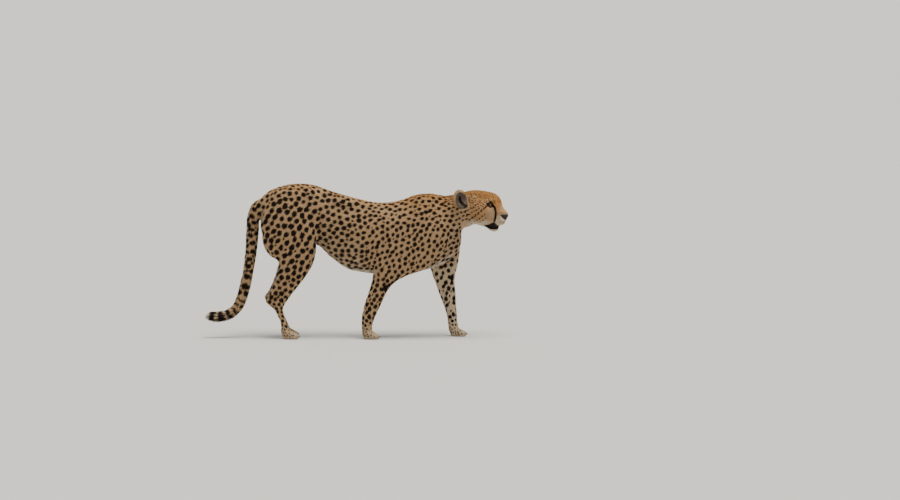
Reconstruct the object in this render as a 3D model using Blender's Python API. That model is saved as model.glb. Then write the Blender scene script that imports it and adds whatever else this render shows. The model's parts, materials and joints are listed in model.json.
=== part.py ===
"""A life-size cheetah, walking with its head low, parted into its named body regions.

Metres, +X towards the nose, +Z up, the animal's right side at -Y, and its soles at Z = 0.
The flesh is lofted from cross-sections, rounded out with muscle forms, fused and smoothed as one
body, and then parted by flat cuts a hair wide, so that the regions meet face to face.
"""

import math
from dataclasses import dataclass, replace

import bmesh
import bpy
from mathutils import Matrix, Vector

# Driving sizes
GAP = 0.0003  # between pieces that touch
RING_SIDES = 28  # points round a lofted ring
RING_STEP = 0.010  # distance along a loft from ring to ring
WELD = 0.0001
FUSE_VOXEL = 0.0045
SMOOTH_PASSES = 5
NODE_TRIANGLES = {
    "head": 1160, "lower_jaw": 200, "neck": 160, "chest": 560, "abdomen": 240, "rump": 400,
    "upper_foreleg": 340, "forearm": 160, "fore_paw": 360, "thigh": 360, "lower_hind_leg": 160,
    "hind_foot": 120, "hind_paw": 350, "tail_root": 170, "tail_middle": 110, "tail_tip": 130, "ear": 420,
}
FLAT_REACH = 0.0006  # how far from a flat cut its own points may stray
SOLE_DEPTH = 0.003  # how far the pads run on below the floor before the flat cut
EYE_RADIUS = 0.0165
EYE_CENTRE = Vector((0.6505, 0.0445, 0.6675))
EYE_GAZE = Vector((0.82, 0.57, 0.03)).normalized()
ORBIT_AHEAD = 0.0200
ORBIT_RADII = (0.0165, 0.0115, 0.0115)
EAR_CENTRE = Vector((0.511, 0.0695, 0.6985))
EAR_FACING = Vector((0.70, 0.70, 0.05)).normalized()
EAR_RISE = Vector((-0.20, 0.34, 0.92)).normalized()
EAR_HALF_WIDTH = 0.041
EAR_HALF_HEIGHT = 0.047
EAR_DEPTH = 0.023
EAR_WALL = 0.006
EAR_HOLLOW_DEPTH = 1.6  # of the hollow's ellipsoid, as a share of the ear's depth
EAR_HOLLOW_PLACE = Vector((0.0, 0.004, 0.95 * EAR_DEPTH))
EAR_ROOT = Vector((0.524, 0.061, 0.672))
EAR_ROOT_RADII = (0.026, 0.022, 0.026)
EAR_CLEARANCE = Vector((0.0, 4.0, 1.2)) * GAP  # how far it is set out from the head
NOSE_FRONT = 0.770
NOSE_LEVELS = (  # height, where the leather starts, and half its width there
    (0.6190, 0.7210, 0.0205),
    (0.6060, 0.7240, 0.0185),
    (0.5870, 0.7310, 0.0070),
)
MOUTH_CORNER = Vector((0.6375, 0.0, 0.5670))
UPPER_LIP_SLOPE = -0.055
LOWER_LIP_SLOPE = -0.165
TOE_REACH = 0.044  # from the knuckle to the middle of a middle toe's last joint
OUTER_TOE_SETBACK = 0.010
TOE_SPACING = 0.0162
TOE_HEIGHT = 0.0135
TOE_SPLAY = 5.0  # degrees from each toe to the next
CLAW_LENGTH = 0.012
CLAW_RADIUS = 0.0034
CLAW_PLACE = Vector((0.0195, 0.0, -0.0005))
CLAW_DROOP = 112  # degrees from straight up, forwards
RIGHT, LEFT = -1, 1


@dataclass(frozen=True)
class Section:
    """One cross-section: two opposite points of its outline from the side, and its width across."""

    top: tuple
    bottom: tuple
    half_width: float
    y: float = 0.0
    fullness: float = 0.0  # above 0 is wider towards the top, below 0 towards the bottom
    squareness: float = 0.0  # 0 is an ellipse


@dataclass(frozen=True)
class Cut:
    """A flat cut: a point on it, and the way its first side lies."""

    point: tuple
    normal: tuple


@dataclass(frozen=True)
class Muscle:
    """An ellipsoid of flesh or bone under the skin, tilted nose-down by `pitch` degrees."""

    centre: tuple
    radii: tuple
    pitch: float = 0.0
    paired: bool = True


TRUNK = (
    Section((-0.492, 0.690), (-0.482, 0.600), 0.028),
    Section((-0.470, 0.716), (-0.462, 0.545), 0.052, fullness=-0.10),
    Section((-0.425, 0.747), (-0.415, 0.505), 0.072, fullness=-0.15),
    Section((-0.350, 0.769), (-0.345, 0.488), 0.083, fullness=-0.12),
    Section((-0.280, 0.7745), (-0.275, 0.484), 0.083, fullness=-0.05),
    Section((-0.210, 0.765), (-0.200, 0.466), 0.078),
    Section((-0.140, 0.7405), (-0.130, 0.404), 0.079, fullness=-0.04),
    Section((-0.060, 0.7155), (-0.050, 0.350), 0.088, fullness=-0.06),
    Section((0.020, 0.6945), (0.030, 0.331), 0.098, fullness=-0.04),
    Section((0.090, 0.6810), (0.095, 0.327), 0.104),
    Section((0.160, 0.6795), (0.165, 0.327), 0.105),
    Section((0.225, 0.6930), (0.240, 0.331), 0.100, fullness=0.05),
    Section((0.285, 0.7150), (0.320, 0.341), 0.092, fullness=0.05),
    Section((0.345, 0.7235), (0.400, 0.364), 0.083, fullness=0.04),
    Section((0.400, 0.7170), (0.470, 0.402), 0.073),
    Section((0.455, 0.7050), (0.508, 0.450), 0.063),
    Section((0.478, 0.7000), (0.518, 0.510), 0.054),
)

NECK = (
    Section((0.400, 0.7150), (0.470, 0.470), 0.067),
    Section((0.440, 0.7125), (0.512, 0.522), 0.064, fullness=-0.08),
    Section((0.475, 0.7165), (0.530, 0.552), 0.064, fullness=-0.18),
    Section((0.510, 0.7260), (0.558, 0.5600), 0.066, fullness=-0.22),
    Section((0.545, 0.7330), (0.588, 0.5720), 0.067, fullness=-0.22),
)

HEAD = (
    Section((0.510, 0.7200), (0.556, 0.566), 0.056, fullness=-0.20),
    Section((0.550, 0.7365), (0.585, 0.570), 0.070, fullness=-0.20),
    Section((0.592, 0.7405), (0.612, 0.563), 0.077, fullness=-0.14),
    Section((0.628, 0.7370), (0.632, 0.560), 0.077, fullness=-0.10),
    Section((0.661, 0.7315), (0.650, 0.557), 0.068, fullness=-0.08),
    Section((0.689, 0.7225), (0.668, 0.559), 0.053),
    Section((0.708, 0.7045), (0.683, 0.562), 0.042),
    Section((0.7175, 0.6830), (0.697, 0.563), 0.0365, fullness=-0.15),
    Section((0.7225, 0.6590), (0.710, 0.565), 0.0355, fullness=-0.30, squareness=0.15),
    Section((0.7365, 0.6410), (0.722, 0.570), 0.0340, fullness=-0.30, squareness=0.15),
    Section((0.7480, 0.6250), (0.733, 0.578), 0.0275, fullness=-0.10, squareness=0.15),
    Section((0.7510, 0.6130), (0.738, 0.589), 0.016),
)

JAW = (
    Section((0.600, 0.600), (0.610, 0.5640), 0.051),
    Section((0.625, 0.600), (0.640, 0.5545), 0.043),
    Section((0.650, 0.590), (0.661, 0.5385), 0.036),
    Section((0.675, 0.580), (0.681, 0.5330), 0.031),
    Section((0.691, 0.572), (0.6965, 0.5390), 0.024),
    Section((0.700, 0.565), (0.7040, 0.5530), 0.012),
)

# Each leg runs from the blade or the croup to the knuckles: front of the limb first, then its back.
REACHED_BACK_FORELEG = (
    Section((0.350, 0.710), (0.280, 0.705), 0.014, y=0.040),
    Section((0.395, 0.665), (0.245, 0.655), 0.028, y=0.052),
    Section((0.440, 0.590), (0.200, 0.590), 0.038, y=0.062),
    Section((0.462, 0.520), (0.160, 0.520), 0.042, y=0.070),
    Section((0.430, 0.435), (0.125, 0.455), 0.042, y=0.074),
    Section((0.345, 0.356), (0.095, 0.400), 0.040, y=0.077),
    Section((0.250, 0.320), (0.077, 0.350), 0.037, y=0.079),
    Section((0.190, 0.288), (0.073, 0.305), 0.033, y=0.079),
    Section((0.150, 0.245), (0.0595, 0.257), 0.029, y=0.078),
    Section((0.1275, 0.198), (0.042, 0.206), 0.0255, y=0.077),
    Section((0.108, 0.156), (0.0285, 0.163), 0.0235, y=0.076),
    Section((0.091, 0.122), (0.0215, 0.127), 0.0245, y=0.075),
    Section((0.078, 0.092), (0.0180, 0.093), 0.0245, y=0.074),
    Section((0.0705, 0.062), (0.0185, 0.060), 0.0245, y=0.074),
    Section((0.0710, 0.034), (0.0200, 0.030), 0.0260, y=0.074),
)
REACHED_BACK_PAW = Vector((0.046, 0.074, 0.0))

UPRIGHT_FORELEG = (
    Section((0.357, 0.710), (0.287, 0.705), 0.014, y=0.040),
    Section((0.415, 0.665), (0.262, 0.655), 0.028, y=0.052),
    Section((0.472, 0.590), (0.240, 0.590), 0.038, y=0.062),
    Section((0.505, 0.520), (0.240, 0.520), 0.042, y=0.070),
    Section((0.511, 0.455), (0.270, 0.450), 0.042, y=0.074),
    Section((0.507, 0.405), (0.318, 0.395), 0.040, y=0.077),
    Section((0.498, 0.352), (0.358, 0.345), 0.036, y=0.078),
    Section((0.485, 0.302), (0.374, 0.300), 0.032, y=0.078),
    Section((0.4835, 0.262), (0.389, 0.260), 0.028, y=0.077),
    Section((0.489, 0.215), (0.405, 0.212), 0.025, y=0.076),
    Section((0.4905, 0.172), (0.421, 0.170), 0.0235, y=0.075),
    Section((0.493, 0.130), (0.437, 0.128), 0.0245, y=0.074),
    Section((0.4935, 0.096), (0.446, 0.094), 0.0245, y=0.073),
    Section((0.498, 0.062), (0.450, 0.058), 0.0245, y=0.073),
    Section((0.504, 0.034), (0.453, 0.030), 0.0260, y=0.073),
)
UPRIGHT_PAW = Vector((0.481, 0.073, 0.0))

HIND_LEG = (
    Section((-0.300, 0.735), (-0.430, 0.715), 0.022, y=0.050),
    Section((-0.250, 0.655), (-0.466, 0.640), 0.040, y=0.060),
    Section((-0.215, 0.575), (-0.483, 0.565), 0.047, y=0.064),
    Section((-0.205, 0.500), (-0.463, 0.495), 0.050, y=0.066),
    Section((-0.210, 0.435), (-0.430, 0.428), 0.047, y=0.069),
    Section((-0.223, 0.378), (-0.3945, 0.386), 0.041, y=0.071),
    Section((-0.250, 0.328), (-0.401, 0.335), 0.035, y=0.072),
    Section((-0.291, 0.272), (-0.422, 0.278), 0.028, y=0.071),
    Section((-0.328, 0.225), (-0.4455, 0.228), 0.0225, y=0.070),
    Section((-0.353, 0.189), (-0.4670, 0.200), 0.0205, y=0.069),
    Section((-0.3695, 0.164), (-0.4500, 0.175), 0.0215, y=0.069),
    Section((-0.3735, 0.138), (-0.4180, 0.147), 0.0205, y=0.069),
    Section((-0.3640, 0.105), (-0.4000, 0.113), 0.0200, y=0.069),
    Section((-0.3500, 0.072), (-0.3850, 0.078), 0.0215, y=0.069),
    Section((-0.3350, 0.036), (-0.3790, 0.036), 0.0275, y=0.069),
)
HIND_PAW = Vector((-0.357, 0.069, 0.0))
LEFT_HIND_SHIFT = Vector((-0.007, 0.0, 0.0))

# The tail hangs behind the rump and curls back above the floor: places along it, and its radius there.
TAIL_PATH = (
    (-0.462, 0.678, 0.030),
    (-0.501, 0.655, 0.032),
    (-0.522, 0.605, 0.0320),
    (-0.5265, 0.540, 0.0315),
    (-0.5350, 0.432, 0.0290),
    (-0.5500, 0.330, 0.0265),
    (-0.5720, 0.232, 0.0265),
    (-0.5990, 0.162, 0.0260),
    (-0.6400, 0.122, 0.0255),
    (-0.6900, 0.1085, 0.0250),
    (-0.7300, 0.1105, 0.0200),
    (-0.7510, 0.1140, 0.0060),
)
TAIL_SWING = -0.030  # how far to the right the tip hangs

MUSCLES = (
    Muscle((-0.335, 0.042, 0.700), (0.100, 0.038, 0.058), 6),  # croup
    Muscle((-0.250, 0.045, 0.722), (0.050, 0.026, 0.034)),  # point of the hip
    Muscle((-0.400, 0.064, 0.500), (0.075, 0.044, 0.105), -12),  # back of the thigh
    Muscle((-0.290, 0.074, 0.470), (0.075, 0.038, 0.095), 10),  # front of the thigh
    Muscle((-0.350, 0.074, 0.330), (0.048, 0.032, 0.075), 35),  # calf
    Muscle((0.190, 0.078, 0.430), (0.090, 0.034, 0.070), -25),  # right upper arm
    Muscle((0.325, 0.040, 0.676), (0.060, 0.026, 0.042), -8),  # top of the blade
    Muscle((0.060, 0.050, 0.500), (0.160, 0.056, 0.135)),  # ribs
    Muscle((-0.060, 0.030, 0.660), (0.150, 0.036, 0.050), 14),  # back muscle beside the spine
)

FACE = (
    Muscle((0.634, 0.051, 0.645), (0.040, 0.026, 0.017), 25),  # cheekbone
    Muscle((0.603, 0.049, 0.618), (0.040, 0.028, 0.044)),  # jaw muscle
    Muscle((0.664, 0.038, 0.692), (0.030, 0.0185, 0.013), 25),  # brow
    Muscle((0.575, 0.028, 0.698), (0.050, 0.028, 0.036)),  # temple
    Muscle((0.715, 0.0225, 0.586), (0.021, 0.0190, 0.0185), 10),  # whisker pad
    Muscle((0.728, 0.000, 0.627), (0.026, 0.021, 0.015), 48, paired=False),  # end of the bridge
    Muscle((0.688, 0.000, 0.549), (0.015, 0.019, 0.0145), paired=False),  # chin
)

TOE = (  # round a toe's middle
    Muscle((0.0, 0.0, 0.0), (0.0180, 0.0096, 0.0155), 12),
    Muscle((-0.018, 0.0, 0.011), (0.0230, 0.0094, 0.0140), 22),
)

PALM = (  # round the knuckle: the main pad, and the arch over it
    Muscle((0.004, 0.0, 0.012), (0.024, 0.0275, 0.012 + SOLE_DEPTH)),
    Muscle((0.000, 0.0, 0.030), (0.026, 0.0255, 0.0230)),
)

UNDER_BRISKET = Cut((0, 0, 0.318), (0, 0, 1))
TAIL_HEAD = Cut((-0.4985, 0, 0.690), (1, 0, 0.075))
TAIL_BEND = Cut((-0.612, 0, 0.148), (0.75, 0, 0.66))
NECK_BASE = Cut((0.435, 0, 0.7125), (0.170, 0, 0.090))
NAPE = Cut((0.548, 0, 0.640), (0.180, 0, 0.060))
LOIN = Cut((-0.196, 0, 0.600), (1, 0, 0.05))
LAST_RIB = Cut((0.030, 0, 0.500), (1, 0, 0))
SHOULDER = Cut((0, 0.036, 0.318), (0, 1, -0.24))  # the left one; the right one mirrors it
HIP = Cut((0, 0.010, 0.440), (0, 1, -0.28))
CARPUS = {"right": Cut((0.058, 0, 0.108), (0.22, 0, 1)), "left": Cut((0.466, 0, 0.112), (-0.06, 0, 1))}
HOCK = Cut((-0.41, 0, 0.188), (0.10, 0, 1))
HIND_KNUCKLES = Cut((-0.36, 0, 0.066), (-0.18, 0, 1))
UPPER_LIP = Cut(tuple(MOUTH_CORNER), (-UPPER_LIP_SLOPE, 0, 1))
LOWER_LIP = Cut(tuple(MOUTH_CORNER), (-LOWER_LIP_SLOPE, 0, 1))

FUR_MATERIAL = ("short tawny fur", (0.60, 0.42, 0.23, 1.0), 0.85)
LEATHER_MATERIAL = ("black nose leather", (0.015, 0.012, 0.011, 1.0), 0.45)
EYE_MATERIAL = ("amber eye", (0.35, 0.16, 0.03, 1.0), 0.08)


def clear_scene():
    for item in list(bpy.data.objects):
        bpy.data.objects.remove(item, do_unlink=True)


def material(spec, node_name):
    """A Principled material of the node's own, from its name, colour and roughness."""
    label, colour, roughness = spec
    made = bpy.data.materials.new(f"{label} of {node_name}")
    made.use_nodes = True
    shader = made.node_tree.nodes["Principled BSDF"]
    shader.inputs["Base Color"].default_value = colour
    shader.inputs["Roughness"].default_value = roughness
    shader.inputs["Metallic"].default_value = 0.0
    return made


def new_object(name, bm, spec=None):
    """A scene object that takes the bmesh over, with its faces pointing out."""
    bmesh.ops.recalc_face_normals(bm, faces=bm.faces)
    mesh = bpy.data.meshes.new(name)
    bm.to_mesh(mesh)
    bm.free()
    made = bpy.data.objects.new(name, mesh)
    bpy.context.scene.collection.objects.link(made)
    if spec:
        mesh.materials.append(material(spec, name))
    return made


def mirrored(point, side):
    return Vector((point[0], point[1] * side, point[2]))


# --- Lofts -------------------------------------------------------------------------------------


def eased(before, start, end, after, t):
    """Catmull-Rom value between start and end."""
    return 0.5 * (
        2 * start
        + (end - before) * t
        + (2 * before - 5 * start + 4 * end - after) * t * t
        + (3 * start - before - 3 * end + after) * t**3
    )


def section_values(section):
    return (
        *section.top, *section.bottom,
        section.half_width, section.y, section.fullness, section.squareness,
    )


def between(sections):
    """The sections with smoothly blended ones between them, RING_STEP apart."""
    rows = [section_values(section) for section in sections]
    rows = [rows[0], *rows, rows[-1]]
    blended = []
    for i in range(1, len(rows) - 2):
        start, end = rows[i], rows[i + 1]
        span = max(math.dist(start[:2], end[:2]), math.dist(start[2:4], end[2:4]))
        steps = max(1, round(span / RING_STEP))
        for step in range(steps):
            t = step / steps
            blended.append([eased(rows[i - 1][k], start[k], end[k], rows[i + 2][k], t) for k in range(8)])
    blended.append(list(rows[-1]))
    return blended


def ring_points(values, side):
    """Points round one section, the top first."""
    top_x, top_z, low_x, low_z, half_width, y, fullness, squareness = values
    centre = Vector(((top_x + low_x) / 2, y * side, (top_z + low_z) / 2))
    rise = Vector(((top_x - low_x) / 2, 0.0, (top_z - low_z) / 2))
    power = 1.0 / (1.0 + squareness)
    points = []
    for i in range(RING_SIDES):
        angle = 2 * math.pi * i / RING_SIDES
        up, out = math.cos(angle), math.sin(angle)
        up_grown = math.copysign(abs(up) ** power, up)
        out_grown = math.copysign(abs(out) ** power, out)
        across = half_width * out_grown * (1 + fullness * up)
        points.append(centre + rise * up_grown + Vector((0.0, across, 0.0)))
    return points


def add_loft(bm, sections, side=1):
    """A closed tube through the sections; side -1 puts it on the animal's right."""
    rings = [
        [bm.verts.new(point) for point in ring_points(values, side)]
        for values in between(sections)
    ]
    for ring, following in zip(rings, rings[1:]):
        for i in range(RING_SIDES):
            j = (i + 1) % RING_SIDES
            bm.faces.new((ring[i], ring[j], following[j], following[i]))
    bm.faces.new(rings[0])
    bm.faces.new(reversed(rings[-1]))


def tail_sections():
    """The tail's path as round sections square to it."""
    points = [Vector((x, 0.0, z)) for x, z, _ in TAIL_PATH]
    sections = []
    for i, (x, z, radius) in enumerate(TAIL_PATH):
        along = (points[min(i + 1, len(points) - 1)] - points[max(i - 1, 0)]).normalized()
        out = Vector((along.z, 0.0, -along.x)) * radius
        share = i / (len(TAIL_PATH) - 1)
        sections.append(Section(
            (x - out.x, z - out.z), (x + out.x, z + out.z), radius, y=TAIL_SWING * share**2
        ))
    return sections


def add_ellipsoid(bm, muscle, place):
    """One muscle's ellipsoid, its centre being counted from the place."""
    turn = Matrix.Rotation(math.radians(muscle.pitch), 4, "Y")
    size = Matrix.Diagonal((*muscle.radii, 1.0))
    bmesh.ops.create_icosphere(
        bm, subdivisions=3, radius=1.0,
        matrix=place @ Matrix.Translation(muscle.centre) @ turn @ size,
    )


def add_muscle(bm, muscle):
    """A muscle of the body, on both sides where it is paired."""
    add_ellipsoid(bm, muscle, Matrix())
    if muscle.paired:
        x, y, z = muscle.centre
        add_ellipsoid(bm, replace(muscle, centre=(x, -y, z)), Matrix())


# --- Paws --------------------------------------------------------------------------------------


def toe_places(knuckle, side):
    """Where each of four toes lies: its centre and how far it splays, from the inner toe out."""
    places = []
    for rank in (-1.5, -0.5, 0.5, 1.5):
        ahead = TOE_REACH - OUTER_TOE_SETBACK * (abs(rank) - 0.5)
        centre = mirrored(knuckle, side) + Vector((ahead, rank * TOE_SPACING, TOE_HEIGHT))
        places.append((centre, rank * TOE_SPLAY))
    return places


def add_paw(bm, knuckle, side):
    """Four toes, the main pad and the hollow arch over them."""
    for centre, splay in toe_places(knuckle, side):
        place = Matrix.Translation(centre) @ Matrix.Rotation(math.radians(splay), 4, "Z")
        for pad in TOE:
            add_ellipsoid(bm, pad, place)
    for pad in PALM:
        add_ellipsoid(bm, pad, Matrix.Translation(mirrored(knuckle, side)))


def claw(knuckle, side, rank):
    """A blunt claw, curved down ahead of one toe."""
    centre, splay = toe_places(knuckle, side)[rank]
    bm = bmesh.new()
    bmesh.ops.create_cone(
        bm, cap_ends=True, segments=6, radius1=CLAW_RADIUS, radius2=CLAW_RADIUS * 0.28,
        depth=CLAW_LENGTH,
        matrix=Matrix.Translation(centre + CLAW_PLACE)
        @ Matrix.Rotation(math.radians(splay), 4, "Z")
        @ Matrix.Rotation(math.radians(CLAW_DROOP), 4, "Y"),
    )
    return new_object("claw", bm)


# --- The fused flesh ---------------------------------------------------------------------------


def evaluated(item):
    """The object's mesh with its modifiers done, the object itself being removed."""
    graph = bpy.context.evaluated_depsgraph_get()
    mesh = bpy.data.meshes.new_from_object(item.evaluated_get(graph))
    bpy.data.objects.remove(item, do_unlink=True)
    return mesh


def fused_flesh():
    """Every loft and muscle as one smooth closed body, with flat soles."""
    bm = bmesh.new()
    left_hind = [moved_section(section, LEFT_HIND_SHIFT) for section in HIND_LEG]
    for sections, side in (
        (TRUNK, 1), (NECK, 1), (HEAD, 1), (JAW, 1), (tail_sections(), 1),
        (REACHED_BACK_FORELEG, RIGHT), (UPRIGHT_FORELEG, LEFT),
        (HIND_LEG, RIGHT), (left_hind, LEFT),
    ):
        add_loft(bm, sections, side)
    for muscle in MUSCLES + FACE:
        add_muscle(bm, muscle)
    for knuckle, side in paws().values():
        add_paw(bm, knuckle, side)
    body = new_object("flesh", bm)
    fuse = body.modifiers.new("fuse", "REMESH")
    fuse.mode = "VOXEL"
    fuse.voxel_size = FUSE_VOXEL
    smooth = body.modifiers.new("smooth", "SMOOTH")
    smooth.factor = 0.5
    smooth.iterations = SMOOTH_PASSES
    fused = bmesh.new()
    fused.from_mesh(evaluated(body))
    return above(fused, Vector(), Vector((0, 0, 1)))


def thin(item, kind):
    """Brings an object down to its kind's number of triangles, its flat cuts staying flat."""
    step = item.modifiers.new("thin", "DECIMATE")
    triangles = sum(len(face.vertices) - 2 for face in item.data.polygons)
    step.ratio = min(1.0, NODE_TRIANGLES[kind] / triangles)
    graph = bpy.context.evaluated_depsgraph_get()
    mesh = bpy.data.meshes.new_from_object(item.evaluated_get(graph))
    item.modifiers.clear()
    item.data = mesh


def moved_section(section, shift):
    """A section moved along X by the shift, its height and width kept."""
    return replace(
        section,
        top=(section.top[0] + shift.x, section.top[1]),
        bottom=(section.bottom[0] + shift.x, section.bottom[1]),
    )


def paws():
    """Each paw's node name, with its knuckle and side."""
    return {
        "right_fore_paw": (REACHED_BACK_PAW, RIGHT),
        "left_fore_paw": (UPRIGHT_PAW, LEFT),
        "right_hind_paw": (HIND_PAW, RIGHT),
        "left_hind_paw": (HIND_PAW + LEFT_HIND_SHIFT, LEFT),
    }


# --- Parting -----------------------------------------------------------------------------------


def above(bm, point, normal):
    """The bmesh cut to the side of the plane that the normal points to, and closed."""
    cut = bmesh.ops.bisect_plane(
        bm, geom=[*bm.verts, *bm.edges, *bm.faces], dist=1e-6,
        plane_co=point, plane_no=normal, clear_inner=True,
    )
    edges = [item for item in cut["geom_cut"] if isinstance(item, bmesh.types.BMEdge)]
    bmesh.ops.holes_fill(bm, edges=edges, sides=0)
    bmesh.ops.triangulate(bm, faces=[face for face in bm.faces if len(face.verts) > 4])
    return bm


@dataclass
class Region:
    """A body of flesh, with the flat cuts that bound it, each a point and its inward normal."""

    bm: bmesh.types.BMesh
    flats: tuple = ()


def parted(region, cut, side=LEFT):
    """The two sides of a flat cut GAP wide: the one that its normal points to first."""
    normal = mirrored(cut.normal, side).normalized()
    point = mirrored(cut.point, side)
    sides = []
    for bm, inward in ((region.bm.copy(), normal), (region.bm, -normal)):
        place = point + inward * GAP / 2
        sides.append(Region(above(bm, place, inward), (*region.flats, (place, inward))))
    return sides


def flattened(item, flats):
    """Puts the points that thinning has moved off a flat cut back on it."""
    for vertex in item.data.vertices:
        for place, inward in flats:
            height = (vertex.co - place).dot(inward)
            if height < FLAT_REACH:
                vertex.co -= inward * height


def islands(bm):
    """The bmesh's separate bodies, each as a bmesh of its own, with its middle."""
    bm.verts.index_update()
    left = set(bm.verts)
    bodies = []
    while left:
        reached = {left.pop()}
        front = list(reached)
        while front:
            following = [edge.other_vert(vertex) for vertex in front for edge in vertex.link_edges]
            front = [vertex for vertex in set(following) if vertex not in reached]
            reached.update(front)
        left -= reached
        index = {vertex.index for vertex in reached}
        body = bm.copy()
        body.verts.ensure_lookup_table()
        outside = [vertex for vertex in body.verts if vertex.index not in index]
        bmesh.ops.delete(body, geom=outside, context="VERTS")
        middle = sum((vertex.co for vertex in body.verts), Vector()) / len(body.verts)
        bodies.append((middle, body))
    bm.free()
    return bodies


def parted_legs(nodes, legs):
    """Names the bodies below the leg cut, and parts each at its lower joints."""
    for middle, bm in islands(legs.bm):
        body = Region(bm, legs.flats)
        side = "right" if middle.y < 0 else "left"
        if middle.x < -0.5:
            nodes["tail_middle"], nodes["tail_tip"] = parted(body, TAIL_BEND)
        elif middle.x > -0.1:
            nodes[f"{side}_forearm"], nodes[f"{side}_fore_paw"] = parted(body, CARPUS[side])
        else:
            nodes[f"{side}_lower_hind_leg"], foot = parted(body, HOCK)
            nodes[f"{side}_hind_foot"], nodes[f"{side}_hind_paw"] = parted(foot, HIND_KNUCKLES)


def parted_body(flesh):
    """Every region of the flesh by its node name."""
    nodes = {}
    upper, legs = parted(Region(flesh), UNDER_BRISKET)
    legs.flats += ((Vector(), Vector((0, 0, 1))),)
    parted_legs(nodes, legs)
    upper, nodes["tail_root"] = parted(upper, TAIL_HEAD)
    front, trunk = parted(upper, NECK_BASE)
    nodes["head"], nodes["neck"] = parted(front, NAPE)
    trunk, rear = parted(trunk, LOIN)
    chest, nodes["abdomen"] = parted(trunk, LAST_RIB)
    for side, word in ((RIGHT, "right"), (LEFT, "left")):
        nodes[f"{word}_upper_foreleg"], chest = parted(chest, SHOULDER, side)
        nodes[f"{word}_thigh"], rear = parted(rear, HIP, side)
    nodes["chest"] = chest
    nodes["rump"] = rear
    return nodes


# --- Head pieces -------------------------------------------------------------------------------


def boolean(target, cutter, operation):
    """Applies an exact Boolean to the target, and removes the cutter."""
    step = target.modifiers.new(operation.lower(), "BOOLEAN")
    step.operation = operation
    step.solver = "EXACT"
    step.object = cutter
    graph = bpy.context.evaluated_depsgraph_get()
    mesh = bpy.data.meshes.new_from_object(target.evaluated_get(graph))
    target.modifiers.clear()
    target.data = mesh
    bpy.data.objects.remove(cutter, do_unlink=True)


def ball(name, centre, radius, spec=None, subdivisions=3):
    bm = bmesh.new()
    bmesh.ops.create_icosphere(
        bm, subdivisions=subdivisions, radius=radius, matrix=Matrix.Translation(centre)
    )
    return new_object(name, bm, spec)


def orbit(centre, gaze):
    """The hollow of the eye: an ellipsoid that opens the flesh round the eyeball's front."""
    across = Vector((0, 0, 1)).cross(gaze).normalized()
    turn = Matrix((across, gaze.cross(across), gaze)).transposed().to_4x4()
    bm = bmesh.new()
    bmesh.ops.create_icosphere(
        bm, subdivisions=2, radius=1.0,
        matrix=Matrix.Translation(centre + gaze * ORBIT_AHEAD) @ turn @ Matrix.Diagonal((*ORBIT_RADII, 1)),
    )
    return new_object("orbit", bm)


def add_eyes(head):
    for side, word in ((RIGHT, "right"), (LEFT, "left")):
        centre = mirrored(EYE_CENTRE, side)
        gaze = mirrored(EYE_GAZE, side)
        boolean(head, orbit(centre, gaze), "DIFFERENCE")
        boolean(head, ball("socket", centre, EYE_RADIUS + GAP), "DIFFERENCE")
        ball(f"{word}_eye", centre, EYE_RADIUS, EYE_MATERIAL)


def nose_block(grow):
    """The block that the nose leather fills, narrowing down to the lip, grown by the gap."""
    bm = bmesh.new()
    rims = []
    for z, back, half_width in NOSE_LEVELS:
        corners = ((back, -half_width), (NOSE_FRONT, -half_width), (NOSE_FRONT, half_width), (back, half_width))
        rims.append([
            bm.verts.new((
                x - grow if x == back else x,
                y + math.copysign(grow, y),
                z + math.copysign(grow, z - NOSE_LEVELS[1][0]),
            ))
            for x, y in corners
        ])
    for upper, lower in zip(rims, rims[1:]):
        for i in range(4):
            j = (i + 1) % 4
            bm.faces.new((upper[i], upper[j], lower[j], lower[i]))
    bm.faces.new(rims[0])
    bm.faces.new(reversed(rims[-1]))
    return new_object("nose_block", bm)


def copy_of(item, name):
    twin = bpy.data.objects.new(name, item.data.copy())
    bpy.context.scene.collection.objects.link(twin)
    return twin


def add_nose(head):
    nose = copy_of(head, "nose")
    boolean(nose, nose_block(0.0), "INTERSECT")
    boolean(head, nose_block(GAP * 1.6), "DIFFERENCE")
    nose.data.materials.clear()
    nose.data.materials.append(material(LEATHER_MATERIAL, "nose"))


def parted_mouth(nodes):
    """Opens the mouth: a wedge is left out between the lips, ahead of the corner."""
    upper, nodes["lower_jaw"] = parted(nodes["head"], LOWER_LIP)
    lip = Vector(UPPER_LIP.normal).normalized()
    nodes["head"] = Region(above(upper.bm, MOUTH_CORNER, lip), (*upper.flats, (MOUTH_CORNER, lip)))


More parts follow.
